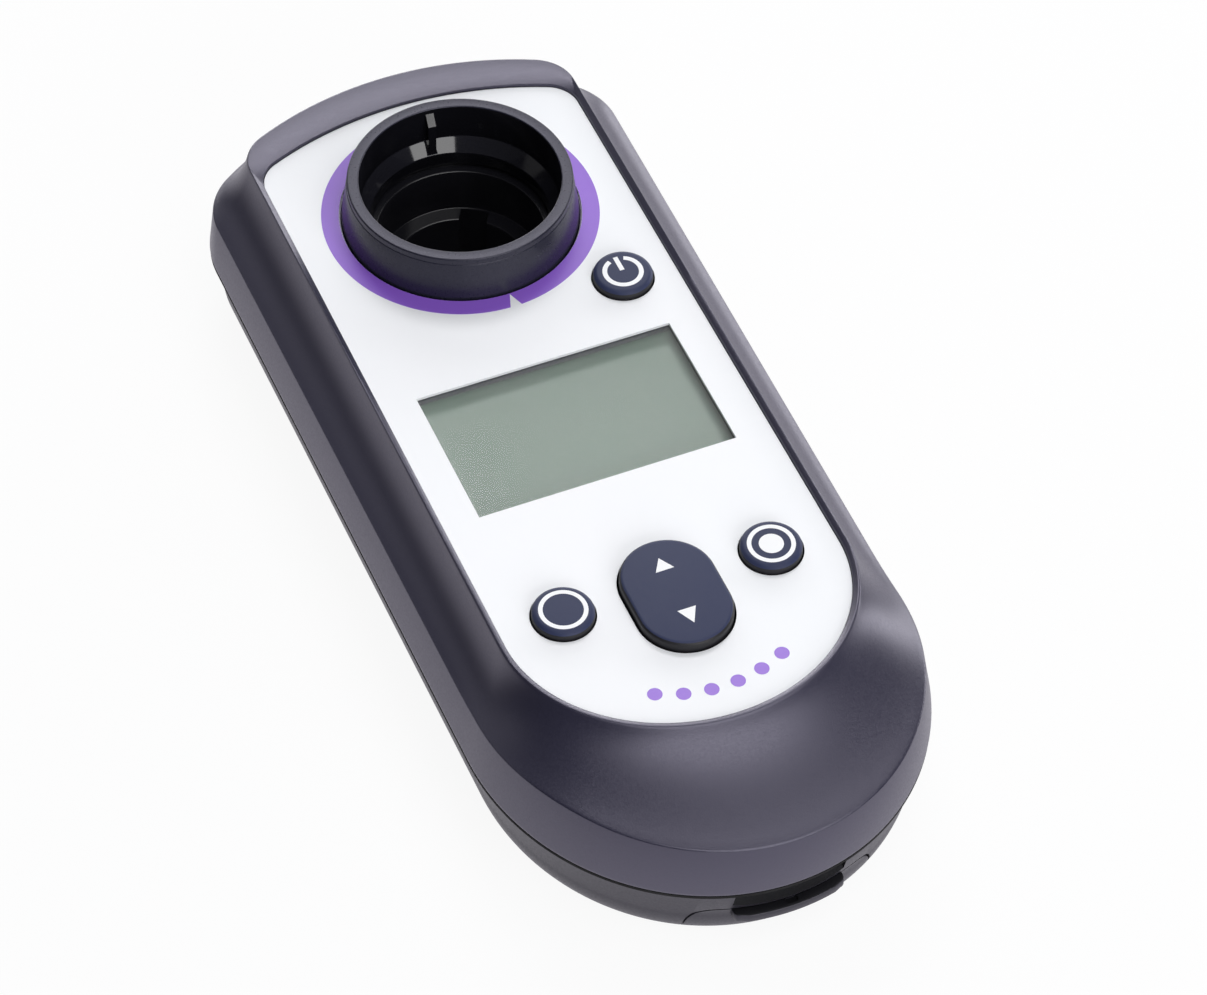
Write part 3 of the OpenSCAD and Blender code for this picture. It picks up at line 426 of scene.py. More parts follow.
def spark_eroded_abs(name, base, shade, roughness, grain_mm=0.42, depth_mm=0.02, specular=0.5,
                     sheen_tint="#ffffff"):
    """ABS moulded in a spark-eroded tool: an even matt skin of tiny pits, which breaks a highlight
    into a soft, faintly grainy sheen. The real pits are 0.1 mm wide and are drawn coarser to show."""
    material, tree, shader, place = new_surface(name, IOR=1.54, Specular_IOR_Level=specular,
                                                Specular_Tint=linear(sheen_tint))
    pits = noise(tree, place, grain_mm, 3.0, 0.6)
    dress(tree, shader, base, shade, noise(tree, place, 38),
          (pits, roughness - 0.05, roughness + 0.07), (pits, depth_mm, 0.55))
    return material


def polished_abs(name, base, shade, roughness=0.12, specular=0.5):
    """ABS moulded against polished steel: near-mirror, with slow waves where the wall sank."""
    material, tree, shader, place = new_surface(name, IOR=1.54, Specular_IOR_Level=specular)
    waves = noise(tree, place, 9, 1.0)
    dress(tree, shader, base, shade, waves, (waves, roughness, roughness + 0.08), (waves, 0.03, 0.3))
    return material


def printed_film(name, base, shade, roughness=0.34, specular=0.5):
    """Polyester face film, printed on its back: a flat colour under a fine satin grain."""
    material, tree, shader, place = new_surface(name, IOR=1.5, Specular_IOR_Level=specular)
    grain = noise(tree, place, 0.5)
    dress(tree, shader, base, shade, noise(tree, place, 60, 1.0),
          (grain, roughness - 0.04, roughness + 0.05), (grain, 0.004, 0.4))
    return material


def moulded_rubber(name, base, shade, roughness=0.62):
    """Moulded elastomer: dull, slightly dusty, with a soft grain."""
    material, tree, shader, place = new_surface(name, IOR=1.47)
    dust = noise(tree, place, 7, 3.0)
    dress(tree, shader, base, shade, dust, (dust, roughness - 0.06, roughness + 0.1),
          (noise(tree, place, 0.6, 3.0), 0.015, 0.5), (0.4, 0.75))
    return material


def plated_steel(name, base, shade, roughness=0.28):
    """Zinc or nickel plate over drawn steel: metallic, with fine drawing lines."""
    material, tree, shader, place = new_surface(name, Metallic=1.0)
    stretch = add_node(tree, "ShaderNodeMapping", {"Vector": place, "Scale": (1.0, 1.0, 12.0)})
    lines = noise(tree, stretch.outputs[0], 1.0, 3.0)
    dress(tree, shader, base, shade, lines, (lines, roughness - 0.06, roughness + 0.12),
          (lines, 0.006, 0.3))
    return material


def clear_acrylic(name, tint, alpha):
    """Cast acrylic or clear resin: mostly seen through, with a thin clean reflection."""
    material, tree, shader, place = new_surface(name, IOR=1.49, Alpha=alpha, Roughness=0.04)
    dress(tree, shader, tint, "#ffffff", noise(tree, place, 14, 1.0))
    return material


def display_film(name):
    """Reflective liquid-crystal cell under a polariser: grey-green and satin, with a faint grain as
    wide as the 0.39 mm pitch of its unlit dots."""
    material, tree, shader, place = new_surface(name, IOR=1.5, Roughness=0.3)
    dress(tree, shader, "#506f5c", "#4c6b58", noise(tree, place, 45, 1.0),
          relief=(noise(tree, place, 0.39, 1.0), 0.003, 0.3))
    return material


def solder_mask(name):
    """Glass-epoxy board under green solder mask: satin, with darker weave showing through."""
    material, tree, shader, place = new_surface(name, IOR=1.5)
    weave = noise(tree, place, 0.8)
    dress(tree, shader, "#1c5a3a", "#17492f", weave, (weave, 0.3, 0.42))
    return material


HOUSING = spark_eroded_abs("spark_eroded_abs_housing", "#262537", "#242334", 0.36, 0.4, 0.02, 1.0,
                           "#efeaff")
BASE = spark_eroded_abs("spark_eroded_abs_base", "#2d2c33", "#2b2a31", 0.42, specular=0.42,
                        sheen_tint="#f6f3ff")
# Dark tone painted as shade on the scoop, the lip's top and back, and the tongue's top, in the recess under
# the upper housing.
CATCH_PAINTED_SHADE = spark_eroded_abs("spark_eroded_abs_catch_shade", "#121216", "#15151a", 0.62,
                               specular=0.16)
COLLAR_SATIN = spark_eroded_abs("satin_abs_collar", "#20202d", "#23232f", 0.3, 0.5, 0.002, 0.42,
                                 "#eeecff")
# Polished copies of the collar plastic: darker in the bore as painted shade, lighter on the cone as painted
# light.
COLLAR_BORE_SHADE = polished_abs("polished_abs_collar_bore", "#101014", "#121217", 0.05)
COLLAR_CONE_LIGHT = polished_abs("polished_abs_collar_cone", "#1d1d23", "#1f1f26", 0.05)
WELL_BLACK = polished_abs("black_abs_well", "#19191e", "#1b1b20", 0.16)
FACE_FILM = printed_film("printed_polyester_face", "#f3f4f8", "#f1f3f7")
PRINT_PURPLE = printed_film("purple_screen_ink", "#8d5fd0", "#8a5bcd", 0.36)
PRINT_DOT = printed_film("purple_screen_ink_dots", "#9a70da", "#966cd8", 0.36)
PRINT_WHITE = printed_film("white_pad_print_ink", "#f6f7fa", "#f4f5f8", 0.4)
KEY_TOP = printed_film("blue_grey_key_film", "#343a57", "#323855", 0.45, 0.22)
KEY_SKIRT = moulded_rubber("dark_silicone_key", "#17161b", "#1b1a20", 0.5)
# Black gasket rubber; also painted on the lower shell's top edge as the shade of the seam.
GASKET_AND_SEAM_SHADE = moulded_rubber("black_gasket_rubber", "#040405", "#070708", 0.85)
FOOT = moulded_rubber("black_foot_rubber", "#141417", "#1d1d21")
SHEET = moulded_rubber("grey_silicone_sheet", "#56575f", "#5d5e67")
FOAM = moulded_rubber("black_cell_foam", "#1b1b1e", "#242428", 0.8)
LENS = clear_acrylic("clear_acrylic_window", "#f4faf6", 0.07)
OPTIC = clear_acrylic("clear_resin_optic", "#e6eef2", 0.45)
DISPLAY = display_film("liquid_crystal_cell")
BOARD = solder_mask("green_solder_mask")
CHIP = spark_eroded_abs("moulded_epoxy_chips", "#1b1b1f", "#222227", 0.55, 0.3)
INNER = spark_eroded_abs("moulded_abs_inner_black", "#232328", "#28282e", 0.5, 0.8)
DIFFUSER = printed_film("milky_acrylic_diffuser", "#e8ece6", "#e2e7e0", 0.4)
RIBBON = printed_film("polyimide_ribbon", "#c8a25a", "#bd9650", 0.35)
ZINC = plated_steel("zinc_plated_screw_steel", "#b9bbc0", "#a4a6ac")
NICKEL = plated_steel("nickel_plated_spring_steel", "#c9c7bf", "#b3b1a9", 0.2)
SWITCH = plated_steel("tinned_switch_plate", "#9ea2a8", "#8b8f96", 0.34)
SOURCE = polished_abs("milky_epoxy_lamp_body", "#e4e0d2", "#dcd8ca", 0.2)
SENSOR = polished_abs("smoked_epoxy_sensor_body", "#2a2220", "#332a27", 0.2)

SHOWN_AS_MADE = {
    "window_lens": LENS, "display_cushion": FOAM, "display_glass": DISPLAY,
    "display_backlight": DIFFUSER, "display_frame": INNER, "display_connectors": SHEET,
    "keypad_sheet": SHEET, "rocker_fulcrum": INNER, "key_switches": SWITCH, "main_board": BOARD,
    "board_components": CHIP, "board_screws": ZINC, "collar_seal": GASKET_AND_SEAM_SHADE, "well_screws": ZINC,
    "optic_windows": OPTIC, "light_sources": SOURCE, "light_sensors": SENSOR,
    "optics_board": BOARD, "optics_ribbon": RIBBON, "battery_tray": INNER,
    "contact_plates": NICKEL, "door_seal": GASKET_AND_SEAM_SHADE,
}
for node_name, material in SHOWN_AS_MADE.items():
    shown = frame["nodes"][node_name]
    shown.data.materials.clear()
    shown.data.materials.append(material)


# Upper housing: band, crease, cove and ridge as one skin, with its wall inside
COVE_STEPS, COVE_START, COVE_END = 20, 0.045, 0.98
KEY_PLACES = [(POWER_X, POWER_Y), (-KEY_X, KEY_Y), (KEY_X, KEY_Y)]


def key_openings(low, high):
    rocker_hole = capsule(ROCKER_W + 2 * ROCKER_GAP, ROCKER_L + 2 * ROCKER_GAP, (0, ROCKER_Y))
    holes = [disc(KEY_R + KEY_GAP, low, high, at) for at in KEY_PLACES]
    return holes + [prism(rocker_hole, low, high)]


def upper_housing():
    low_in, low_out = level(grow(SEAM, -WALL), UPPER_EDGE), level(SEAM, UPPER_EDGE)
    ridge_line = cove(0.0)
    rim_edge = level(grow(PLATE, 0.15), RIM)
    pocket_edge = level(grow(PLATE, 0.15), POCKET)
    inner = [level(grow(RIDGE_RING, -1.6), CEILING), cove(0.5, WALL), cove(1.0, WALL), low_in]
    skin = rounded(towards(low_out, low_in, 0.45), low_out, towards(low_out, CREASE_LINE, 0.9))
    skin += rounded(towards(CREASE_LINE, low_out, 0.25), CREASE_LINE, cove(COVE_END))
    skin += [cove(COVE_END - (COVE_END - COVE_START) * i / COVE_STEPS) for i in range(1, COVE_STEPS)]
    skin += rounded(cove(COVE_START), ridge_line, towards(ridge_line, rim_edge, 0.45))
    skin += rounded(towards(rim_edge, ridge_line, 0.2), rim_edge,
                    towards(rim_edge, pocket_edge, 0.2), 3)
    shell = mesh_object("upper_shell", loft(inner + skin + [pocket_edge]))
    seat, rebate, through = POCKET - LENS_T - 0.1, 5.2, 1
    carve(shell, joined(block(WINDOW_W + rebate, WINDOW_H + rebate, WINDOW_Y, seat, 36),
                        *key_openings(29, 36),
                        disc(COLLAR_BASE_R + 0.2, 29, 36, (0, COLLAR_Y), 160)))
    carve(shell, block(WINDOW_W + through, WINDOW_H + through, WINDOW_Y, 29, 33))
    return fitted(smooth(shell), "housing", "housing_plastic", HOUSING, nodes=["upper_housing"])


def base_body(inward, top):
    """Solid of the base: drafted wall over a rounded lower edge."""
    drafted, steps = BASE_DRAFT * (LOWER_EDGE - BEND), 12
    levels = []
    for i in range(steps, -1, -1):
        a = math.pi / 2 * i / steps
        levels.append(level(grow(SEAM, -drafted - BASE_TUCK * (1 - math.cos(a)) - inward),
                            BEND - (BASE_ROUND - inward) * math.sin(a)))
    top_line = level(grow(SEAM, -0.4 - inward), top)
    if inward:
        return loft(levels + [top_line])
    return loft(levels + rounded(towards(top_line, levels[-1], 0.2), top_line,
                                 level(grow(SEAM, -0.6), top)))


def tongue_outline(extra):
    """Front view of the door's tongue, as (x, z) points with quarter-round upper corners."""
    half, top, r = DOOR_W / 2 + extra, UNDER + TONGUE_H + extra, 5.0
    points = [(half, -5.0)]
    for side in (1, -1):
        for i in range(13):
            a = math.pi / 2 * (i if side > 0 else i + 12) / 12
            points.append((side * (half - r) + r * math.cos(a), top - r + r * math.sin(a)))
    return points + [(-half, -5.0)]


def tongue_column(extra, from_y, to_y):
    outline = tongue_outline(extra)
    return loft([[Vector((x, y, z)) for x, z in outline] for y in (to_y, from_y)])


def rod_along_x(r, x0, x1, y, z, steps=64):
    turn = Matrix.Translation((0, y, z)) @ Matrix.Rotation(math.radians(90), 4, "Y")
    return moved(disc(r, x0, x1, steps=steps), turn)


CASE_SCREWS = [(side * x, y) for x, y in ((25, NOSE + 26.75), (32, NOSE + 70.75), (25, BACK - 19.5))
               for side in (-1, 1)]
FEET = [(side * 28, y) for y in (NOSE + 42.75, BACK - 40.75) for side in (-1, 1)]
FOOT_R, FOOT_T = 5.0, 1.6
SCREW_BOSS_R, SCREW_WELL_R, SCREW_HOLE_R, SCREW_SEAT, FOOT_SEAT_R = 4.4, 3.1, 1.7, 9.2, 5.15
SCOOP_Y, SCOOP_Z = NOSE - 1.45, LOWER_EDGE + 0.2


# Lower housing: drafted wall, door opening, hinge shroud, screw wells, foot recesses and scoop
def lower_housing():
    hollow = mesh_object("hollow", base_body(WALL, LOWER_EDGE + 0.6))
    shroud = 1.6
    carve(hollow, joined(*[disc(SCREW_BOSS_R, 0, 20, at, 48) for at in CASE_SCREWS]))
    carve(hollow, tongue_column(DOOR_GAP + shroud, NOSE, POCKET_FRONT + shroud))
    carve(hollow, box(-LIP_LEN / 2 - shroud, LIP_LEN / 2 + shroud, NOSE, NOSE + 7.5, UNDER, 20))
    reach = DOOR_W / 2 + DOOR_GAP + 2 + shroud
    width = KNUCKLE_R + DOOR_GAP + shroud
    carve(hollow, box(-reach, reach, HINGE_Y - width, HINGE_Y + width, 0, HINGE_Z + width))
    shell = mesh_object("lower_shell", base_body(0.0, LOWER_EDGE))
    carve(shell, taken(hollow))
    half = DOOR_W / 2 + DOOR_GAP
    knuckle = KNUCKLE_R + DOOR_GAP
    carve(shell, tongue_column(DOOR_GAP, NOSE - 1, POCKET_FRONT))
    carve(shell, box(-half, half, POCKET_FRONT - 0.01, HINGE_Y + knuckle, -1, FLOOR))
    carve(shell, box(-half, half, HINGE_Y - knuckle, HINGE_Y + knuckle, -2, HINGE_Z + knuckle))
    carve(shell, rod_along_x(PIN_R + PIN_GAP, -half - 2, half + 2, HINGE_Y, HINGE_Z))
    carve(shell, rod_along_x(SCOOP_R, -LIP_LEN / 2, LIP_LEN / 2, SCOOP_Y, SCOOP_Z, 96))
    carve(shell, joined(*[disc(SCREW_WELL_R, -1, SCREW_SEAT, at, 48) for at in CASE_SCREWS]))
    carve(shell, joined(*[disc(SCREW_HOLE_R, 8, 16, at, 32) for at in CASE_SCREWS]))
    carve(shell, joined(*[disc(FOOT_SEAT_R, -1, FOOT_T, at, 64) for at in FEET]))
    fitted(smooth(shell), "housing", "base_plastic", BASE, CATCH_PAINTED_SHADE, GASKET_AND_SEAM_SHADE,
           nodes=["lower_housing"])
    # The top 0.5 mm of the lower shell gets the gasket's black as painted shade, which widens the dark
    # shadow line of the seam.
    paint(shell, 2, lambda c, n: c.z > LOWER_EDGE - 0.5)
    # The scoop's wall and ends get the dark catch tone as painted shade.
    return paint(shell, 1, in_scoop)


def in_scoop(c, n):
    """Whether a face of the lower shell is on the round wall or an end of the finger scoop."""
    wall = abs(math.hypot(c.y - SCOOP_Y, c.z - SCOOP_Z) - SCOOP_R) < 0.1
    end = abs(abs(c.x) - LIP_LEN / 2) < 0.05 and abs(n.x) > 0.9
    return c.y < NOSE + 5 and (wall and abs(c.x) < LIP_LEN / 2 + 0.1 or end)


def housing_gasket():
    seal = mesh_object("seam_gasket", prism(ring(grow(SEAM, -0.15)), LOWER_EDGE, UPPER_EDGE))
    carve(seal, prism(ring(grow(SEAM, -WALL)), LOWER_EDGE - 1, UPPER_EDGE + 1))
    return fitted(smooth(seal), "housing", "gasket_rubber", GASKET_AND_SEAM_SHADE, nodes=["housing_gasket"])


# Face plate with its printed ring, notch and dots
INK_SUNK, INK_PROUD = 0.05, 0.02
PRINT_LOW, PRINT_TOP = FACE - INK_SUNK, FACE + INK_PROUD
RING_R, RING_NOTCH = 26.2, [(0.6, 30.75), (-0.62, 27.3), (1.83, 27.3)]
DOT_COUNT, DOT_R, DOT_STEP, DOT_ARC_R, DOT_ARC_Y = 6, 1.35, 10.6, 26.95, -41.9


def face_plate():
    plate = mesh_object("face_film", prism(ring(PLATE), POCKET, FACE))
    carve(plate, joined(block(WINDOW_W, WINDOW_H, WINDOW_Y, 30, 36), *key_openings(30, 36),
                        disc(COLLAR_BASE_R + 0.45, 30, 36, (0, COLLAR_Y), 160)))
    return fitted(smooth(plate), "housing", "face_white", FACE_FILM, nodes=["face_plate"])


def print_ring():
    printed = mesh_object("print_ring", disc(RING_R, PRINT_LOW, PRINT_TOP, (0, COLLAR_Y), 192))
    carve(printed, disc(COLLAR_BASE_R + 0.47, 32, 35, (0, COLLAR_Y), 192))
    carve(printed, prism(RING_NOTCH, 32, 35))
    return fitted(smooth(printed), "housing", "face_white", PRINT_PURPLE)


def new_tree(name, **inputs):
    """Geometry node tree with named inputs, given as the kind of each, and its input sockets."""
    tree = bpy.data.node_groups.new(name, "GeometryNodeTree")
    for label, kind in inputs.items():
        tree.interface.new_socket(name=label, in_out="INPUT", socket_type="NodeSocket" + kind)
    tree.interface.new_socket(name="Mesh", in_out="OUTPUT", socket_type="NodeSocketGeometry")
    return tree, add_node(tree, "NodeGroupInput").outputs


def end_tree(tree, placed, material):
    """Makes the instances real, gives them their material and puts them out."""
    real = add_node(tree, "GeometryNodeRealizeInstances", {0: placed.outputs[0]})
    dressed = add_node(tree, "GeometryNodeSetMaterial", {"Geometry": real.outputs[0],
                       "Material": material})
    add_node(tree, "NodeGroupOutput", {0: dressed.outputs[0]})
    return tree


def with_tree(obj, tree, values):
    """Runs a node tree on an object and keeps the plain mesh it makes."""
    modifier = obj.modifiers.new("tree", "NODES")
    modifier.node_group = tree
    for item in tree.interface.items_tree:
        if item.item_type == "SOCKET" and item.in_out == "INPUT" and item.name in values:
            modifier[item.identifier] = values[item.name]
    return settled(obj)


def dots_tree():
    """Round dots in an arc: point i sits at an angle from -Y and carries a flat disc."""
    tree, given = new_tree("dots_in_an_arc", Count="Int", Arc_radius="Float", Step="Float",
                           Dot_radius="Float", Thickness="Float", Material="Material")
    index = add_node(tree, "GeometryNodeInputIndex").outputs[0]
    middle = maths(tree, "MULTIPLY", maths(tree, "SUBTRACT", given["Count"], 1.0), 0.5)
    angle = maths(tree, "MULTIPLY", maths(tree, "SUBTRACT", index, middle), given["Step"])
    x = maths(tree, "MULTIPLY", maths(tree, "SINE", angle), given["Arc_radius"])
    y = maths(tree, "MULTIPLY", maths(tree, "COSINE", angle), given["Arc_radius"])
    spot = add_node(tree, "ShaderNodeCombineXYZ", {"X": x, "Y": maths(tree, "MULTIPLY", y, -1.0)})
    points = add_node(tree, "GeometryNodePoints", {"Count": given["Count"],
                      "Position": spot.outputs[0]})
    dot = add_node(tree, "GeometryNodeMeshCylinder", {"Vertices": 48, "Radius": given["Dot_radius"],
                   "Depth": given["Thickness"]})
    placed = add_node(tree, "GeometryNodeInstanceOnPoints", {"Points": points.outputs[0],
                      "Instance": dot.outputs["Mesh"]})
    return end_tree(tree, placed, given["Material"])


def copies_tree():
    """A copy of one small mesh at each vertex of the places mesh, each turned a step further."""
    tree, given = new_tree("copies_at_places", Places="Geometry", Copy="Object", Turn="Float",
                           Material="Material")
    index = add_node(tree, "GeometryNodeInputIndex").outputs[0]
    angle = maths(tree, "MULTIPLY", index, given["Turn"])
    turn = add_node(tree, "ShaderNodeCombineXYZ", {"Z": angle})
    shape = add_node(tree, "GeometryNodeObjectInfo", {"Object": given["Copy"]})
    placed = add_node(tree, "GeometryNodeInstanceOnPoints", {"Points": given["Places"],
                      "Instance": shape.outputs["Geometry"], "Rotation": turn.outputs[0]})
    return end_tree(tree, placed, given["Material"])


DOTS, COPIES = dots_tree(), copies_tree()


def copies(name, part, places, material, turn=0.0):
    """One mesh with the part copied to each place, as (x, y, z) in mm."""
    pattern = smooth(mesh_object("pattern", part))
    mesh = bpy.data.meshes.new(name)
    mesh.from_pydata([tuple(Vector(p) * MM) for p in places], [], [])
    made = bpy.data.objects.new(name, mesh)
    scene.collection.objects.link(made)
    with_tree(made, COPIES, {"Copy": pattern, "Turn": math.radians(turn), "Material": material})
    bpy.data.objects.remove(pattern)
    return made


def print_dots():
    mesh = bpy.data.meshes.new("print_dots")
    made = bpy.data.objects.new("print_dots", mesh)
    scene.collection.objects.link(made)
    with_tree(made, DOTS, {"Count": DOT_COUNT, "Arc_radius": DOT_ARC_R * MM,
                           "Step": math.radians(DOT_STEP), "Dot_radius": DOT_R * MM,
                           "Thickness": (PRINT_TOP - PRINT_LOW) * MM, "Material": PRINT_DOT})
    made.data.transform(Matrix.Translation(Vector((0, DOT_ARC_Y, (PRINT_LOW + PRINT_TOP) / 2)) * MM))
    return fitted(smooth(made), "housing", "face_white")


# Keys: a dark silicone skirt under a blue-grey film, with white marks
def arc_points(cx, cy, r, start, end, steps):
    return [(cx + r * math.cos(math.radians(start + (end - start) * i / steps)),
             cy + r * math.sin(math.radians(start + (end - start) * i / steps)))
            for i in range(steps + 1)]


def round_key(name, at, body):
    top = FACE + KEY_PROUD
    outline = [(0, KEY_STEM_Z), (KEY_STEM_R, KEY_STEM_Z), (KEY_STEM_R, FLANGE_LOW),
               (KEY_FLANGE_R, FLANGE_LOW), (KEY_FLANGE_R, FLANGE_TOP), (KEY_R, FLANGE_TOP),
               (KEY_R, top - 1.15), (KEY_R - 0.03, top - 0.85), (KEY_R - 0.1, top - 0.62),
               (KEY_R - 0.22, top - 0.4), (KEY_R - 0.4, top - 0.21), (KEY_R - 0.62, top - 0.08),
               (KEY_R - 0.9, top - 0.02), (KEY_R - 1.2, top), (0, top)]
    key = smooth(mesh_object(name + "_cap", lathe(outline, at, 96, closed=False)), 50)
    fitted(key, body, "key_plastic", KEY_SKIRT, KEY_TOP, nodes=[name])
    return paint(key, 1, lambda c, n: math.hypot(c.x - at[0], c.y - at[1]) < KEY_R - 0.16
                 and n.z > 0.35 and c.z > FACE)


def mark(name, body, parts, low, top, holes=()):
    """White printed mark made of outlines, a hair proud of the key."""
    printed = mesh_object(name, joined(*[prism(p, low, top) for p in parts]))
    for hole in holes:
        carve(printed, prism(hole, low - 1, top + 1))
    return fitted(smooth(printed), body, "face_white", PRINT_WHITE)


def annulus_outline(at, r_out, r_in, start, end, steps=64):
    return arc_points(*at, r_out, start, end, steps) + arc_points(*at, r_in, end, start, steps)


def circle(at, r):
    return arc_points(*at, r, 0, 354, 59)


def keys():
    low, top = FACE + KEY_PROUD - INK_SUNK, FACE + KEY_PROUD + INK_PROUD
    (px, py), left, right = KEY_PLACES
    round_key("power_key", (px, py), "power_button")
    round_key("left_key", left, "left_button")
    round_key("right_key", right, "right_button")
    gap = 24
    bar = [(px + x, py + y) for x, y in ((-0.45, 0.35), (0.45, 0.35), (0.45, 3.85), (-0.45, 3.85))]
    mark("power_mark", "power_button",
         [annulus_outline((px, py), 3.85, 2.95, 90 + gap, 450 - gap), bar], low, top)
    mark("left_mark", "left_button", [circle(left, 4.41)], low, top, [circle(left, 3.6)])
    mark("right_mark", "right_button", [circle(right, 4.35)], low, top, [circle(right, 3.53)])
    mark("right_dot_mark", "right_button", [circle(right, 2.23)], low, top)


def rocker():
    top = FACE + ROCKER_PROUD
    edge = [(0.0, FLANGE_LOW), (0.0, top - 0.75), (0.04, top - 0.52), (0.14, top - 0.32),
            (0.3, top - 0.15), (0.52, top - 0.04), (0.8, top)]
    outlines = [(capsule(ROCKER_W - 2 * d, ROCKER_L - 2 * d, (0, ROCKER_Y)), z) for d, z in edge]
    cap = mesh_object("rocker_cap", loft([[Vector((x, y, z)) for x, y in points]
                                          for points, z in outlines]))
    axis_z = BOARD_TOP + 2.9
    carve(cap, block(20.6, 5, ROCKER_Y, FLANGE_LOW - 0.6, FLANGE_TOP - 0.2), "UNION")
    carve(cap, block(8, 2, ROCKER_Y, axis_z, FLANGE_LOW + 0.2), "UNION")
    carve(cap, rod_along_x(1.5, -4, 4, ROCKER_Y, axis_z), "UNION")
    carve(cap, joined(*[disc(KEY_STEM_R, SWITCH_TOP + 0.5, FLANGE_LOW + 0.2, (0, ROCKER_Y + y), 48)
                        for y in (-7.5, 7.5)]), "UNION")
    fitted(smooth(cap, 50), "rocker", "key_plastic", KEY_SKIRT, KEY_TOP, nodes=["rocker_key"])
    paint(cap, 1, lambda c, n: n.z > 0.8 and c.z > top - 0.3)
    up = [(0.0, -39.75), (-1.75, -42.65), (1.75, -42.65)]
    down = [(-1.75, -52.05), (0.0, -55.5), (1.75, -52.05)]
    mark("rocker_marks", "rocker", [up, down], top - INK_SUNK, top + INK_PROUD)


# Collar: satin rim and skirt outside, polished bore with a rib and a cone inside; the bore is painted darker
# as shade and the upward-facing cone lighter as painted light
CONE_R, CONE_Z = 17.0, 32.0
RIB_PROUD, RIB_HALF_W, RIB_AT = 1.7, 0.75, 86


def collar():
    top = FACE + COLLAR_H
    outline = soften(
        [(THROAT_R, FACE - COLLAR_DROP), (COLLAR_FLANGE_R, FACE - COLLAR_DROP),
         (COLLAR_FLANGE_R, COLLAR_FLANGE_Z), (COLLAR_BASE_R, COLLAR_FLANGE_Z),
         (COLLAR_BASE_R, FACE + 0.25), (COLLAR_TOP_R + 0.12, top - 1.35), (COLLAR_TOP_R, top - 1.25),
         (COLLAR_TOP_R, top), (MOUTH_R, top), (MOUTH_R, top - MOUTH_DEPTH), (CONE_R, CONE_Z),
         (CONE_R, FACE - COLLAR_DROP + 1.2), (THROAT_R, FACE - COLLAR_DROP + 0.6)],
        [0, 0, 0, 0, 0.2, 0.05, 0.05, 0.32, 0.28, 0.2, 0.2, 0.1, 0.1])
    ring_piece = mesh_object("collar_ring", lathe(outline, (0, COLLAR_Y), 192))
    rib_r = MOUTH_R - RIB_PROUD
    rib = prism([(MOUTH_R + 0.3, top - 1.0), (MOUTH_R - 0.1, top - 1.0), (rib_r, top - 3.0),
                 (rib_r, CONE_Z - 1), (MOUTH_R + 0.3, CONE_Z - 1)], -RIB_HALF_W, RIB_HALF_W)
    carve(ring_piece, shifted(turned(turned(rib, 90, "X"), RIB_AT), y=COLLAR_Y), "UNION")
    fitted(smooth(ring_piece, 38), "housing", "collar_gloss", COLLAR_SATIN, COLLAR_BORE_SHADE,
           COLLAR_CONE_LIGHT, nodes=["vial_collar"])
    # The polished bore gets a darker copy of the collar's plastic as painted shade.
    paint(ring_piece, 1, lambda c, n: math.hypot(c.x, c.y - COLLAR_Y) < MOUTH_R + 0.04
          and c.z < top - 0.2)
    # The cone faces up and gets a lighter copy of the plastic as painted light.
    return paint(ring_piece, 2, lambda c, n: CONE_Z - 0.1 < c.z < top - MOUTH_DEPTH + 0.1
                 and 0.3 < n.z < 0.75)


SOURCE_ANGLES, SENSOR_ANGLES, EAR_ANGLES = (150, 180, 210), (-30, 0, 30), (45, 135, 270)


def well():
    low, high = FLOOR + 0.8, FACE - COLLAR_DROP
    outline = soften(
        [(0, low), (WELL_R + 1.8, low), (WELL_R + 1.8, high - 2), (COLLAR_FLANGE_R, high - 2),
         (COLLAR_FLANGE_R, high), (WELL_R, high), (WELL_R, GUIDE_Z), (VIAL_R, GUIDE_Z),
         (VIAL_R, WELL_FLOOR), (0, WELL_FLOOR)],
        [0, 0.4, 0, 0.2, 0.1, 0.3, 0.2, 0.45, 0.4, 0])
    made = mesh_object("vial_well_body", lathe(outline, (0, 0), 160, closed=False))
    for a in EAR_ANGLES:
        carve(made, turned(prism(capsule(5.8, 14, (0, 26.5)), high - 2, high), a - 90), "UNION")
    carve(made, turned(box(0, WELL_R - 0.5, -2.7, 2.7, WELL_FLOOR, GUIDE_Z + 1), 58))
    across = Matrix.Rotation(math.radians(90), 4, "Y")
    for r, depth, start in ((1.3, 10, VIAL_R - 2), (2.65, 8, VIAL_R + 0.8)):
        bore = shifted(moved(disc(r, 0, depth, steps=40), across), start, 0, BEAM_Z)
        carve(made, joined(*[turned(bore, a) for a in SOURCE_ANGLES + SENSOR_ANGLES]))
    carve(made, joined(*[turned(disc(1.25, 24, 30, (29, 0), 32), a) for a in EAR_ANGLES]))
    made.data.transform(Matrix.Translation((0, COLLAR_Y * MM, 0)))
    return fitted(smooth(made), "housing", "well_black", WELL_BLACK, nodes=["vial_well"])


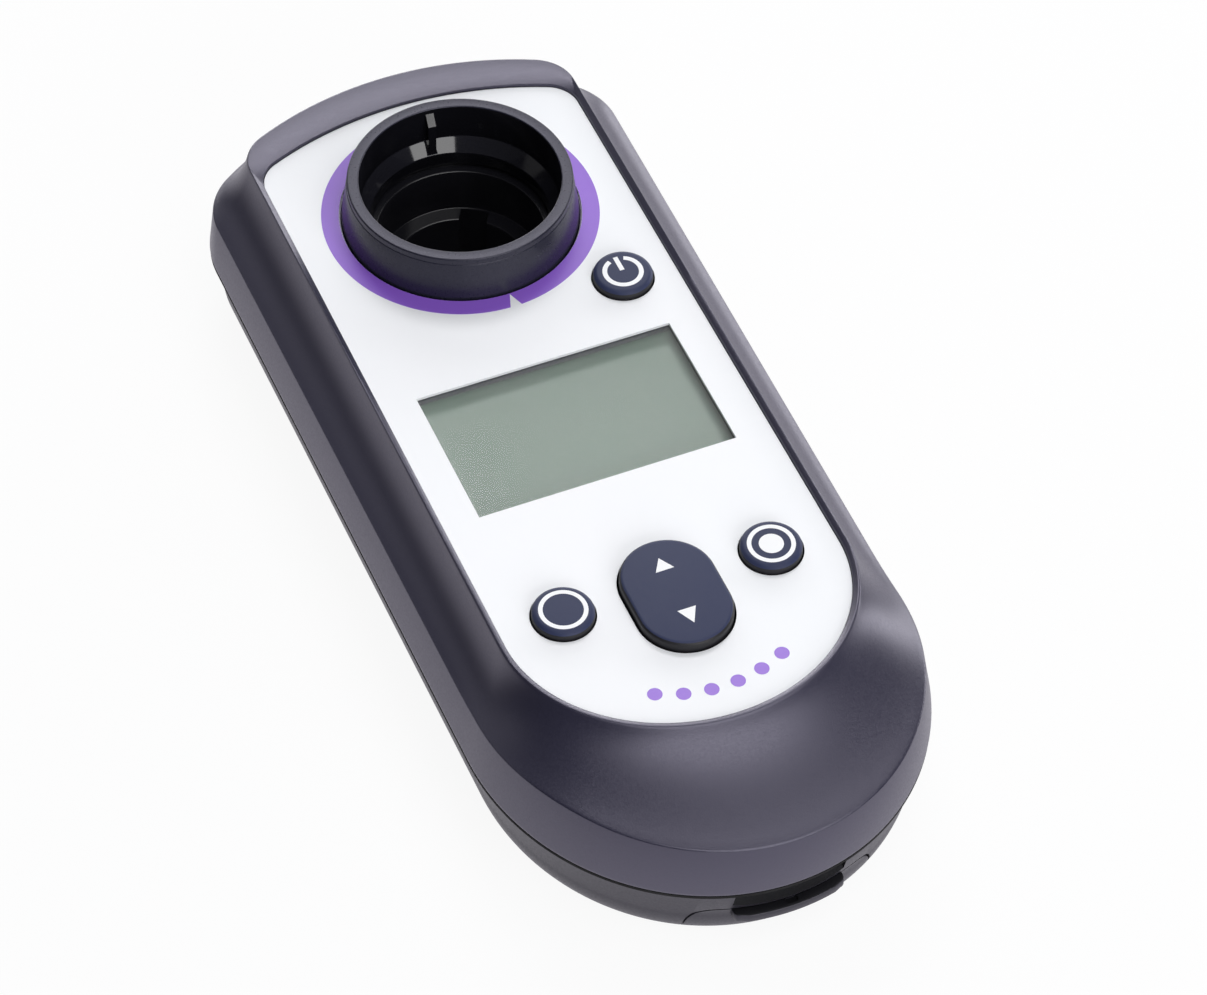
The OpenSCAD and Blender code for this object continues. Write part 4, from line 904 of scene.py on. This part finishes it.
# Battery door: floor panel, hollow tongue, knuckle and pins, groove for the seal; then the lip
def battery_door():
    inside_z = UNDER + DOOR_T
    panel = mesh_object("door_shell", base_body(0.0, LOWER_EDGE))
    keep = mesh_object("keep", tongue_column(0.0, NOSE - 1, POCKET_FRONT - DOOR_GAP))
    carve(keep, box(-DOOR_W / 2, DOOR_W / 2, POCKET_FRONT - 1, HINGE_Y, 0, inside_z), "UNION")
    carve(panel, taken(keep), "INTERSECT")
    inner = mesh_object("inner", base_body(DOOR_T, LOWER_EDGE))
    carve(inner, box(-DOOR_W / 2 + DOOR_T, DOOR_W / 2 - DOOR_T, NOSE, POCKET_FRONT + 0.01, inside_z,
                     inside_z + TONGUE_H - 2 * DOOR_T), "INTERSECT")
    carve(panel, taken(inner))
    carve(panel, rod_along_x(KNUCKLE_R, -DOOR_W / 2, DOOR_W / 2, HINGE_Y, HINGE_Z, 72), "UNION")
    carve(panel, rod_along_x(PIN_R, -DOOR_W / 2 - 2, DOOR_W / 2 + 2, HINGE_Y, HINGE_Z, 48), "UNION")
    middle, long, half = (BAY_FRONT + BAY_BACK) / 2, (BAY_BACK - BAY_FRONT) / 2 + 1.5, BAY_HALF + 1.5
    slack, w = 0.15, 1.2
    groove = mesh_object("groove", box(-half - slack, half + slack, middle - long - slack,
                                       middle + long + slack, inside_z - 0.5, inside_z + 0.3))
    carve(groove, box(-half + w + slack, half - w - slack, middle - long + w + slack,
                      middle + long - w - slack, inside_z - 2, inside_z + 2))
    carve(panel, taken(groove))
    fitted(smooth(panel), "door", "base_plastic", BASE, CATCH_PAINTED_SHADE, nodes=["battery_door"])
    top = UNDER + TONGUE_H
    # The tongue's top, in the recess behind the lip, gets the dark catch tone as painted shade.
    return paint(panel, 1, lambda c, n: n.z > 0.6 and c.y < POCKET_FRONT and c.z > top - 0.6)


def finger_lip():
    """Curved lip on the tongue, flush with the nose of the body, painted dark on its top, its back and its
    dimple as the shade of the recess, like the scoop.
    """
    top = UNDER + TONGUE_H
    face = grow(SEAM, -0.02)
    front = sorted((p for p in ring(face) if abs(p[0]) < LIP_LEN / 2 - 0.9 and p[1] < 0),
                   key=lambda p: p[0])
    edge_y = face[1] + face[3] - face[3] * math.sqrt(1 - (LIP_LEN / 2 / face[0]) ** 2)
    corner_r = 1.2
    corners = [arc_points(side * (LIP_LEN / 2 - corner_r), edge_y + corner_r, corner_r, *span, 6)
               for side, span in ((-1, (180, 262)), (1, (278, 360)))]
    rear = [(LIP_LEN / 2, NOSE + 4.6), (-LIP_LEN / 2, NOSE + 4.6)]
    outline = corners[0] + front + corners[1] + rear
    levels = []
    for inset, z in ((0.3, top - LIP_T), (0.09, top - LIP_T + 0.09), (0, top - LIP_T + 0.3),
                     (0, top - 0.3), (0.09, top - 0.09), (0.3, top)):
        narrower = 1 - inset / (LIP_LEN / 2)
        levels.append([Vector((x * narrower, y + (inset if y < NOSE + 4 else 0), z))
                       for x, y in outline])
    lip = mesh_object("finger_lip", loft(levels))
    dimple = moved(prism(capsule(1.3, 2.4), -0.45, 1), Matrix.Rotation(math.radians(90), 4, "Z"))
    carve(lip, shifted(dimple, 0, NOSE + 1.3, top))
    fitted(smooth(lip, 50), "door", "base_plastic", BASE, CATCH_PAINTED_SHADE)
    # The lip's top, its back and the dimple get the dark catch tone as painted shade.
    return paint(lip, 1, lambda c, n: n.z > 0.6 or n.y > 0.2
                 or c.y > NOSE + 0.5 and c.z > top - 0.5 and abs(c.x) < 2)


# Fasteners and feet
def pan_screw(r, h, shank_r, shank_len):
    """Screw seen head down: domed head at z 0 to -h, cross recess, shank above."""
    shank = [(0, shank_len), (shank_r * 0.6, shank_len), (shank_r, shank_len - 0.8), (shank_r, 0)]
    head = [(r, 0), (r, -h * 0.35), (r * 0.96, -h * 0.62), (r * 0.84, -h * 0.84), (r * 0.6, -h * 0.97),
            (0, -h)]
    screw = mesh_object("screw", lathe(shank + head, steps=40, closed=False))
    arm = r * 0.17
    cross = mesh_object("cross", box(-r * 0.62, r * 0.62, -arm, arm, -h - 1, -h * 0.45))
    carve(cross, box(-arm, arm, -r * 0.62, r * 0.62, -h - 1, -h * 0.45), "UNION")
    return taken(carve(screw, taken(cross)))


def fasteners_and_feet():
    screws = copies("case_screw_set", pan_screw(2.8, 2.2, 1.5, 12),
                    [(x, y, SCREW_SEAT) for x, y in CASE_SCREWS], ZINC, 31)
    fitted(smooth(screws), "housing", "screw_steel", nodes=["case_screws"])
    foot = soften([(0, 0.18), (3.1, 0.18), (3.3, 0), (FOOT_R, 0), (FOOT_R, FOOT_T), (0, FOOT_T)],
                  [0, 0.1, 0.1, 0.3, 0.1, 0])
    feet = copies("rubber_foot_set", lathe(foot, steps=64, closed=False), [(x, y, 0) for x, y in FEET], FOOT)
    fitted(smooth(feet), "housing", "foot_rubber", nodes=["rubber_feet"])


# Battery bay: sleeved cells and wound springs
CELL_R, CELL_X, CELL_Z = 7.15, 7.6, 10.0
SPRING_LEN, CONTACT_T, NUB_BAND = 3.8, 0.5, 17


def cells():
    outline = soften([(0, 0), (6.2, 0), (6.6, 0.45), (CELL_R, 0.45), (CELL_R, 49.0), (6.3, 49.3),
                      (5.4, 49.0), (2.75, 49.0), (2.75, 50.5), (0, 50.5)],
                     [0, 0.15, 0.1, 0.3, 0.4, 0.2, 0.1, 0.1, 0.3, 0])
    lying = Matrix.Rotation(math.radians(-90), 4, "X")
    one = moved(lathe(outline, steps=72, closed=False), lying)
    first = shifted(one, -CELL_X, BAY_FRONT + CONTACT_T + SPRING_LEN + 0.1, CELL_Z)
    second = shifted(turned(one, 180), CELL_X, BAY_BACK - CONTACT_T - SPRING_LEN - 0.1, CELL_Z)
    pair = smooth(mesh_object("cell_pair", joined(first, second)))
    return fitted(pair, "housing", "cell_can", CELL_SLEEVE, nodes=["battery_cells"])


def sleeved_can(name):
    """Steel can in a shrunk plastic sleeve: a satin grey body and a copper band at the nub end."""
    material, tree, shader, place = new_surface(name, Metallic=0.75)
    parts = add_node(tree, "ShaderNodeSeparateXYZ", {0: place}).outputs
    side = maths(tree, "GREATER_THAN", parts["X"], 0.0)
    right_band = maths(tree, "LESS_THAN", parts["Y"], (BAY_FRONT + NUB_BAND) * MM)
    left_band = maths(tree, "GREATER_THAN", parts["Y"], (BAY_BACK - NUB_BAND) * MM)
    band = add_node(tree, "ShaderNodeMix", {0: side, 2: left_band, 3: right_band}).outputs[0]
    tree.links.new(two_tone(tree, band, "#3b3d43", "#b27a3c"), shader.inputs["Base Color"])
    tree.links.new(spread(tree, noise(tree, place, 3, 3.0), 0.25, 0.4), shader.inputs["Roughness"])
    return material


CELL_SLEEVE = sleeved_can("sleeved_cell_can")


def spring_part():
    """Conical spring along +Y: round wire of 0.6 mm, narrowing from radius 3.4 to 2.2 mm."""
    wire, turns, rings, sides = 0.3, 3.25, 130, 10
    levels = []
    for i in range(rings + 1):
        t = i / rings
        a = 2 * math.pi * turns * t
        r = 3.4 - 1.2 * t
        row = []
        for k in range(sides):
            b = 2 * math.pi * k / sides
            rr = r + wire * math.cos(b)
            y = wire + 0.02 + (SPRING_LEN - 2 * wire) * t + wire * math.sin(b)
            row.append(Vector((rr * math.cos(a), y, rr * math.sin(a))))
        levels.append(row)
    return loft(levels)


def springs():
    one = spring_part()
    front = shifted(one, -CELL_X, BAY_FRONT + CONTACT_T, CELL_Z)
    back = shifted(turned(one, 180), CELL_X, BAY_BACK - CONTACT_T, CELL_Z)
    pair = smooth(mesh_object("contact_spring_pair", joined(front, back)), 60)
    return fitted(pair, "housing", "contact_nickel", NICKEL, nodes=["contact_springs"])


for build in (upper_housing, lower_housing, housing_gasket, face_plate, print_ring, print_dots, keys,
              rocker, collar, well, battery_door, finger_lip, fasteners_and_feet, cells, springs):
    build()


# Floor, world and lamps
# Share of its own white that the camera sees on the floor; the rest is lit paper and holds the shadow
FLOOR_HALF, FLOOR_WHITE = 4.0, 0.92
# Patch of floor that the object mirrors: metres where it starts and ends to fade, with Y shortened
PATCH_EDGE, PATCH_OVAL, PATCH_TINT, PATCH_FADE = (0.09, 0.2), (1, 0.55, 1), (-0.035, -0.06, 0), -0.95


def floor():
    """White paper under the object: mirrored as a lit patch round it, and seen through from below,
    so that the underside can be looked at."""
    mesh = bpy.data.meshes.new("floor")
    corners = ((-1, -1), (1, -1), (1, 1), (-1, 1))
    mesh.from_pydata([(x * FLOOR_HALF, y * FLOOR_HALF, 0) for x, y in corners], [], [(0, 1, 2, 3)])
    ground = bpy.data.objects.new("floor", mesh)
    scene.collection.objects.link(ground)
    material = bpy.data.materials.new("white_sweep_paper")
    material.use_nodes = True
    tree = material.node_tree
    tree.nodes.clear()
    matt = add_node(tree, "ShaderNodeBsdfDiffuse", {"Color": linear("#f0f0f3")})
    ray = add_node(tree, "ShaderNodeLightPath").outputs
    mirror = ray["Is Glossy Ray"]
    place = add_node(tree, "ShaderNodeTexCoord").outputs["Object"]
    oval = maths(tree, "MULTIPLY", place, PATCH_OVAL, kind="ShaderNodeVectorMath")
    away = add_node(tree, "ShaderNodeVectorMath", {0: oval}, operation="LENGTH").outputs["Value"]
    fall = spread(tree, away, 0.0, PATCH_FADE, *PATCH_EDGE)
    lit = maths(tree, "MULTIPLY_ADD", mirror, fall, 1.0)
    tint = maths(tree, "MULTIPLY_ADD", mirror, PATCH_TINT, (1, 1, 1), kind="ShaderNodeVectorMath")
    glow = add_node(tree, "ShaderNodeEmission", {"Color": tint, "Strength": lit})
    share = maths(tree, "MULTIPLY_ADD", ray["Is Camera Ray"], FLOOR_WHITE, mirror)
    mixed = add_node(tree, "ShaderNodeMixShader", {0: share, 1: matt.outputs[0], 2: glow.outputs[0]})
    clear = add_node(tree, "ShaderNodeBsdfTransparent")
    under = add_node(tree, "ShaderNodeNewGeometry").outputs["Backfacing"]
    sided = add_node(tree, "ShaderNodeMixShader", {0: under, 1: mixed.outputs[0],
                     2: clear.outputs[0]})
    add_node(tree, "ShaderNodeOutputMaterial", {"Surface": sided.outputs[0]})
    mesh.materials.append(material)


def world():
    """Faint sky that the camera sees as white."""
    made = bpy.data.worlds.new("studio")
    made.use_nodes = True
    tree = made.node_tree
    tree.nodes.clear()
    light = add_node(tree, "ShaderNodeBackground", {"Color": linear("#eceef4"), "Strength": 0.06})
    white = add_node(tree, "ShaderNodeBackground", {"Color": (1, 1, 1, 1), "Strength": 1.0})
    seen = add_node(tree, "ShaderNodeLightPath").outputs["Is Camera Ray"]
    mixed = add_node(tree, "ShaderNodeMixShader", {0: seen, 1: light.outputs[0], 2: white.outputs[0]})
    add_node(tree, "ShaderNodeOutputWorld", {"Surface": mixed.outputs[0]})
    scene.world = made


LAMP_DISTANCE, LAMP_AIM = 1200, Vector((0, 0, 20))


def softbox(name, azimuth, height, width, tall, power):
    """Softbox aimed at the object. Azimuth is in degrees clockwise from the back and height in
    degrees above the floor. Width and tall are metres, and power is watts."""
    data = bpy.data.lights.new(name, "AREA")
    data.shape = "RECTANGLE"
    data.size, data.size_y = width, tall
    data.energy = power
    lamp = bpy.data.objects.new(name, data)
    scene.collection.objects.link(lamp)
    a, e = math.radians(azimuth), math.radians(height)
    way = Vector((math.sin(a) * math.cos(e), math.cos(a) * math.cos(e), math.sin(e)))
    lamp.location = (way * LAMP_DISTANCE + LAMP_AIM) * MM
    lamp.rotation_mode = "QUATERNION"
    lamp.rotation_quaternion = (-way).to_track_quat("-Z", "Y")
    lamp.visible_camera = False


floor()
world()
softbox("back_low_softbox", 0, 5, 0.6, 0.42, 5.0)
softbox("right_low_softbox", 57, 6, 1.8, 0.55, 14.0)
softbox("large_front_softbox", 172, 20, 1.0, 0.6, 8.0)
softbox("back_softbox", 15, 21, 0.8, 0.42, 2.6)
softbox("back_left_softbox", 315, 21, 0.8, 0.5, 0.5)
softbox("high_back_softbox", 22, 53, 0.6, 0.42, 4.2)
softbox("overhead_softbox", 158, 70, 1.0, 0.7, 6.3)

scene.view_settings.view_transform = "Standard"
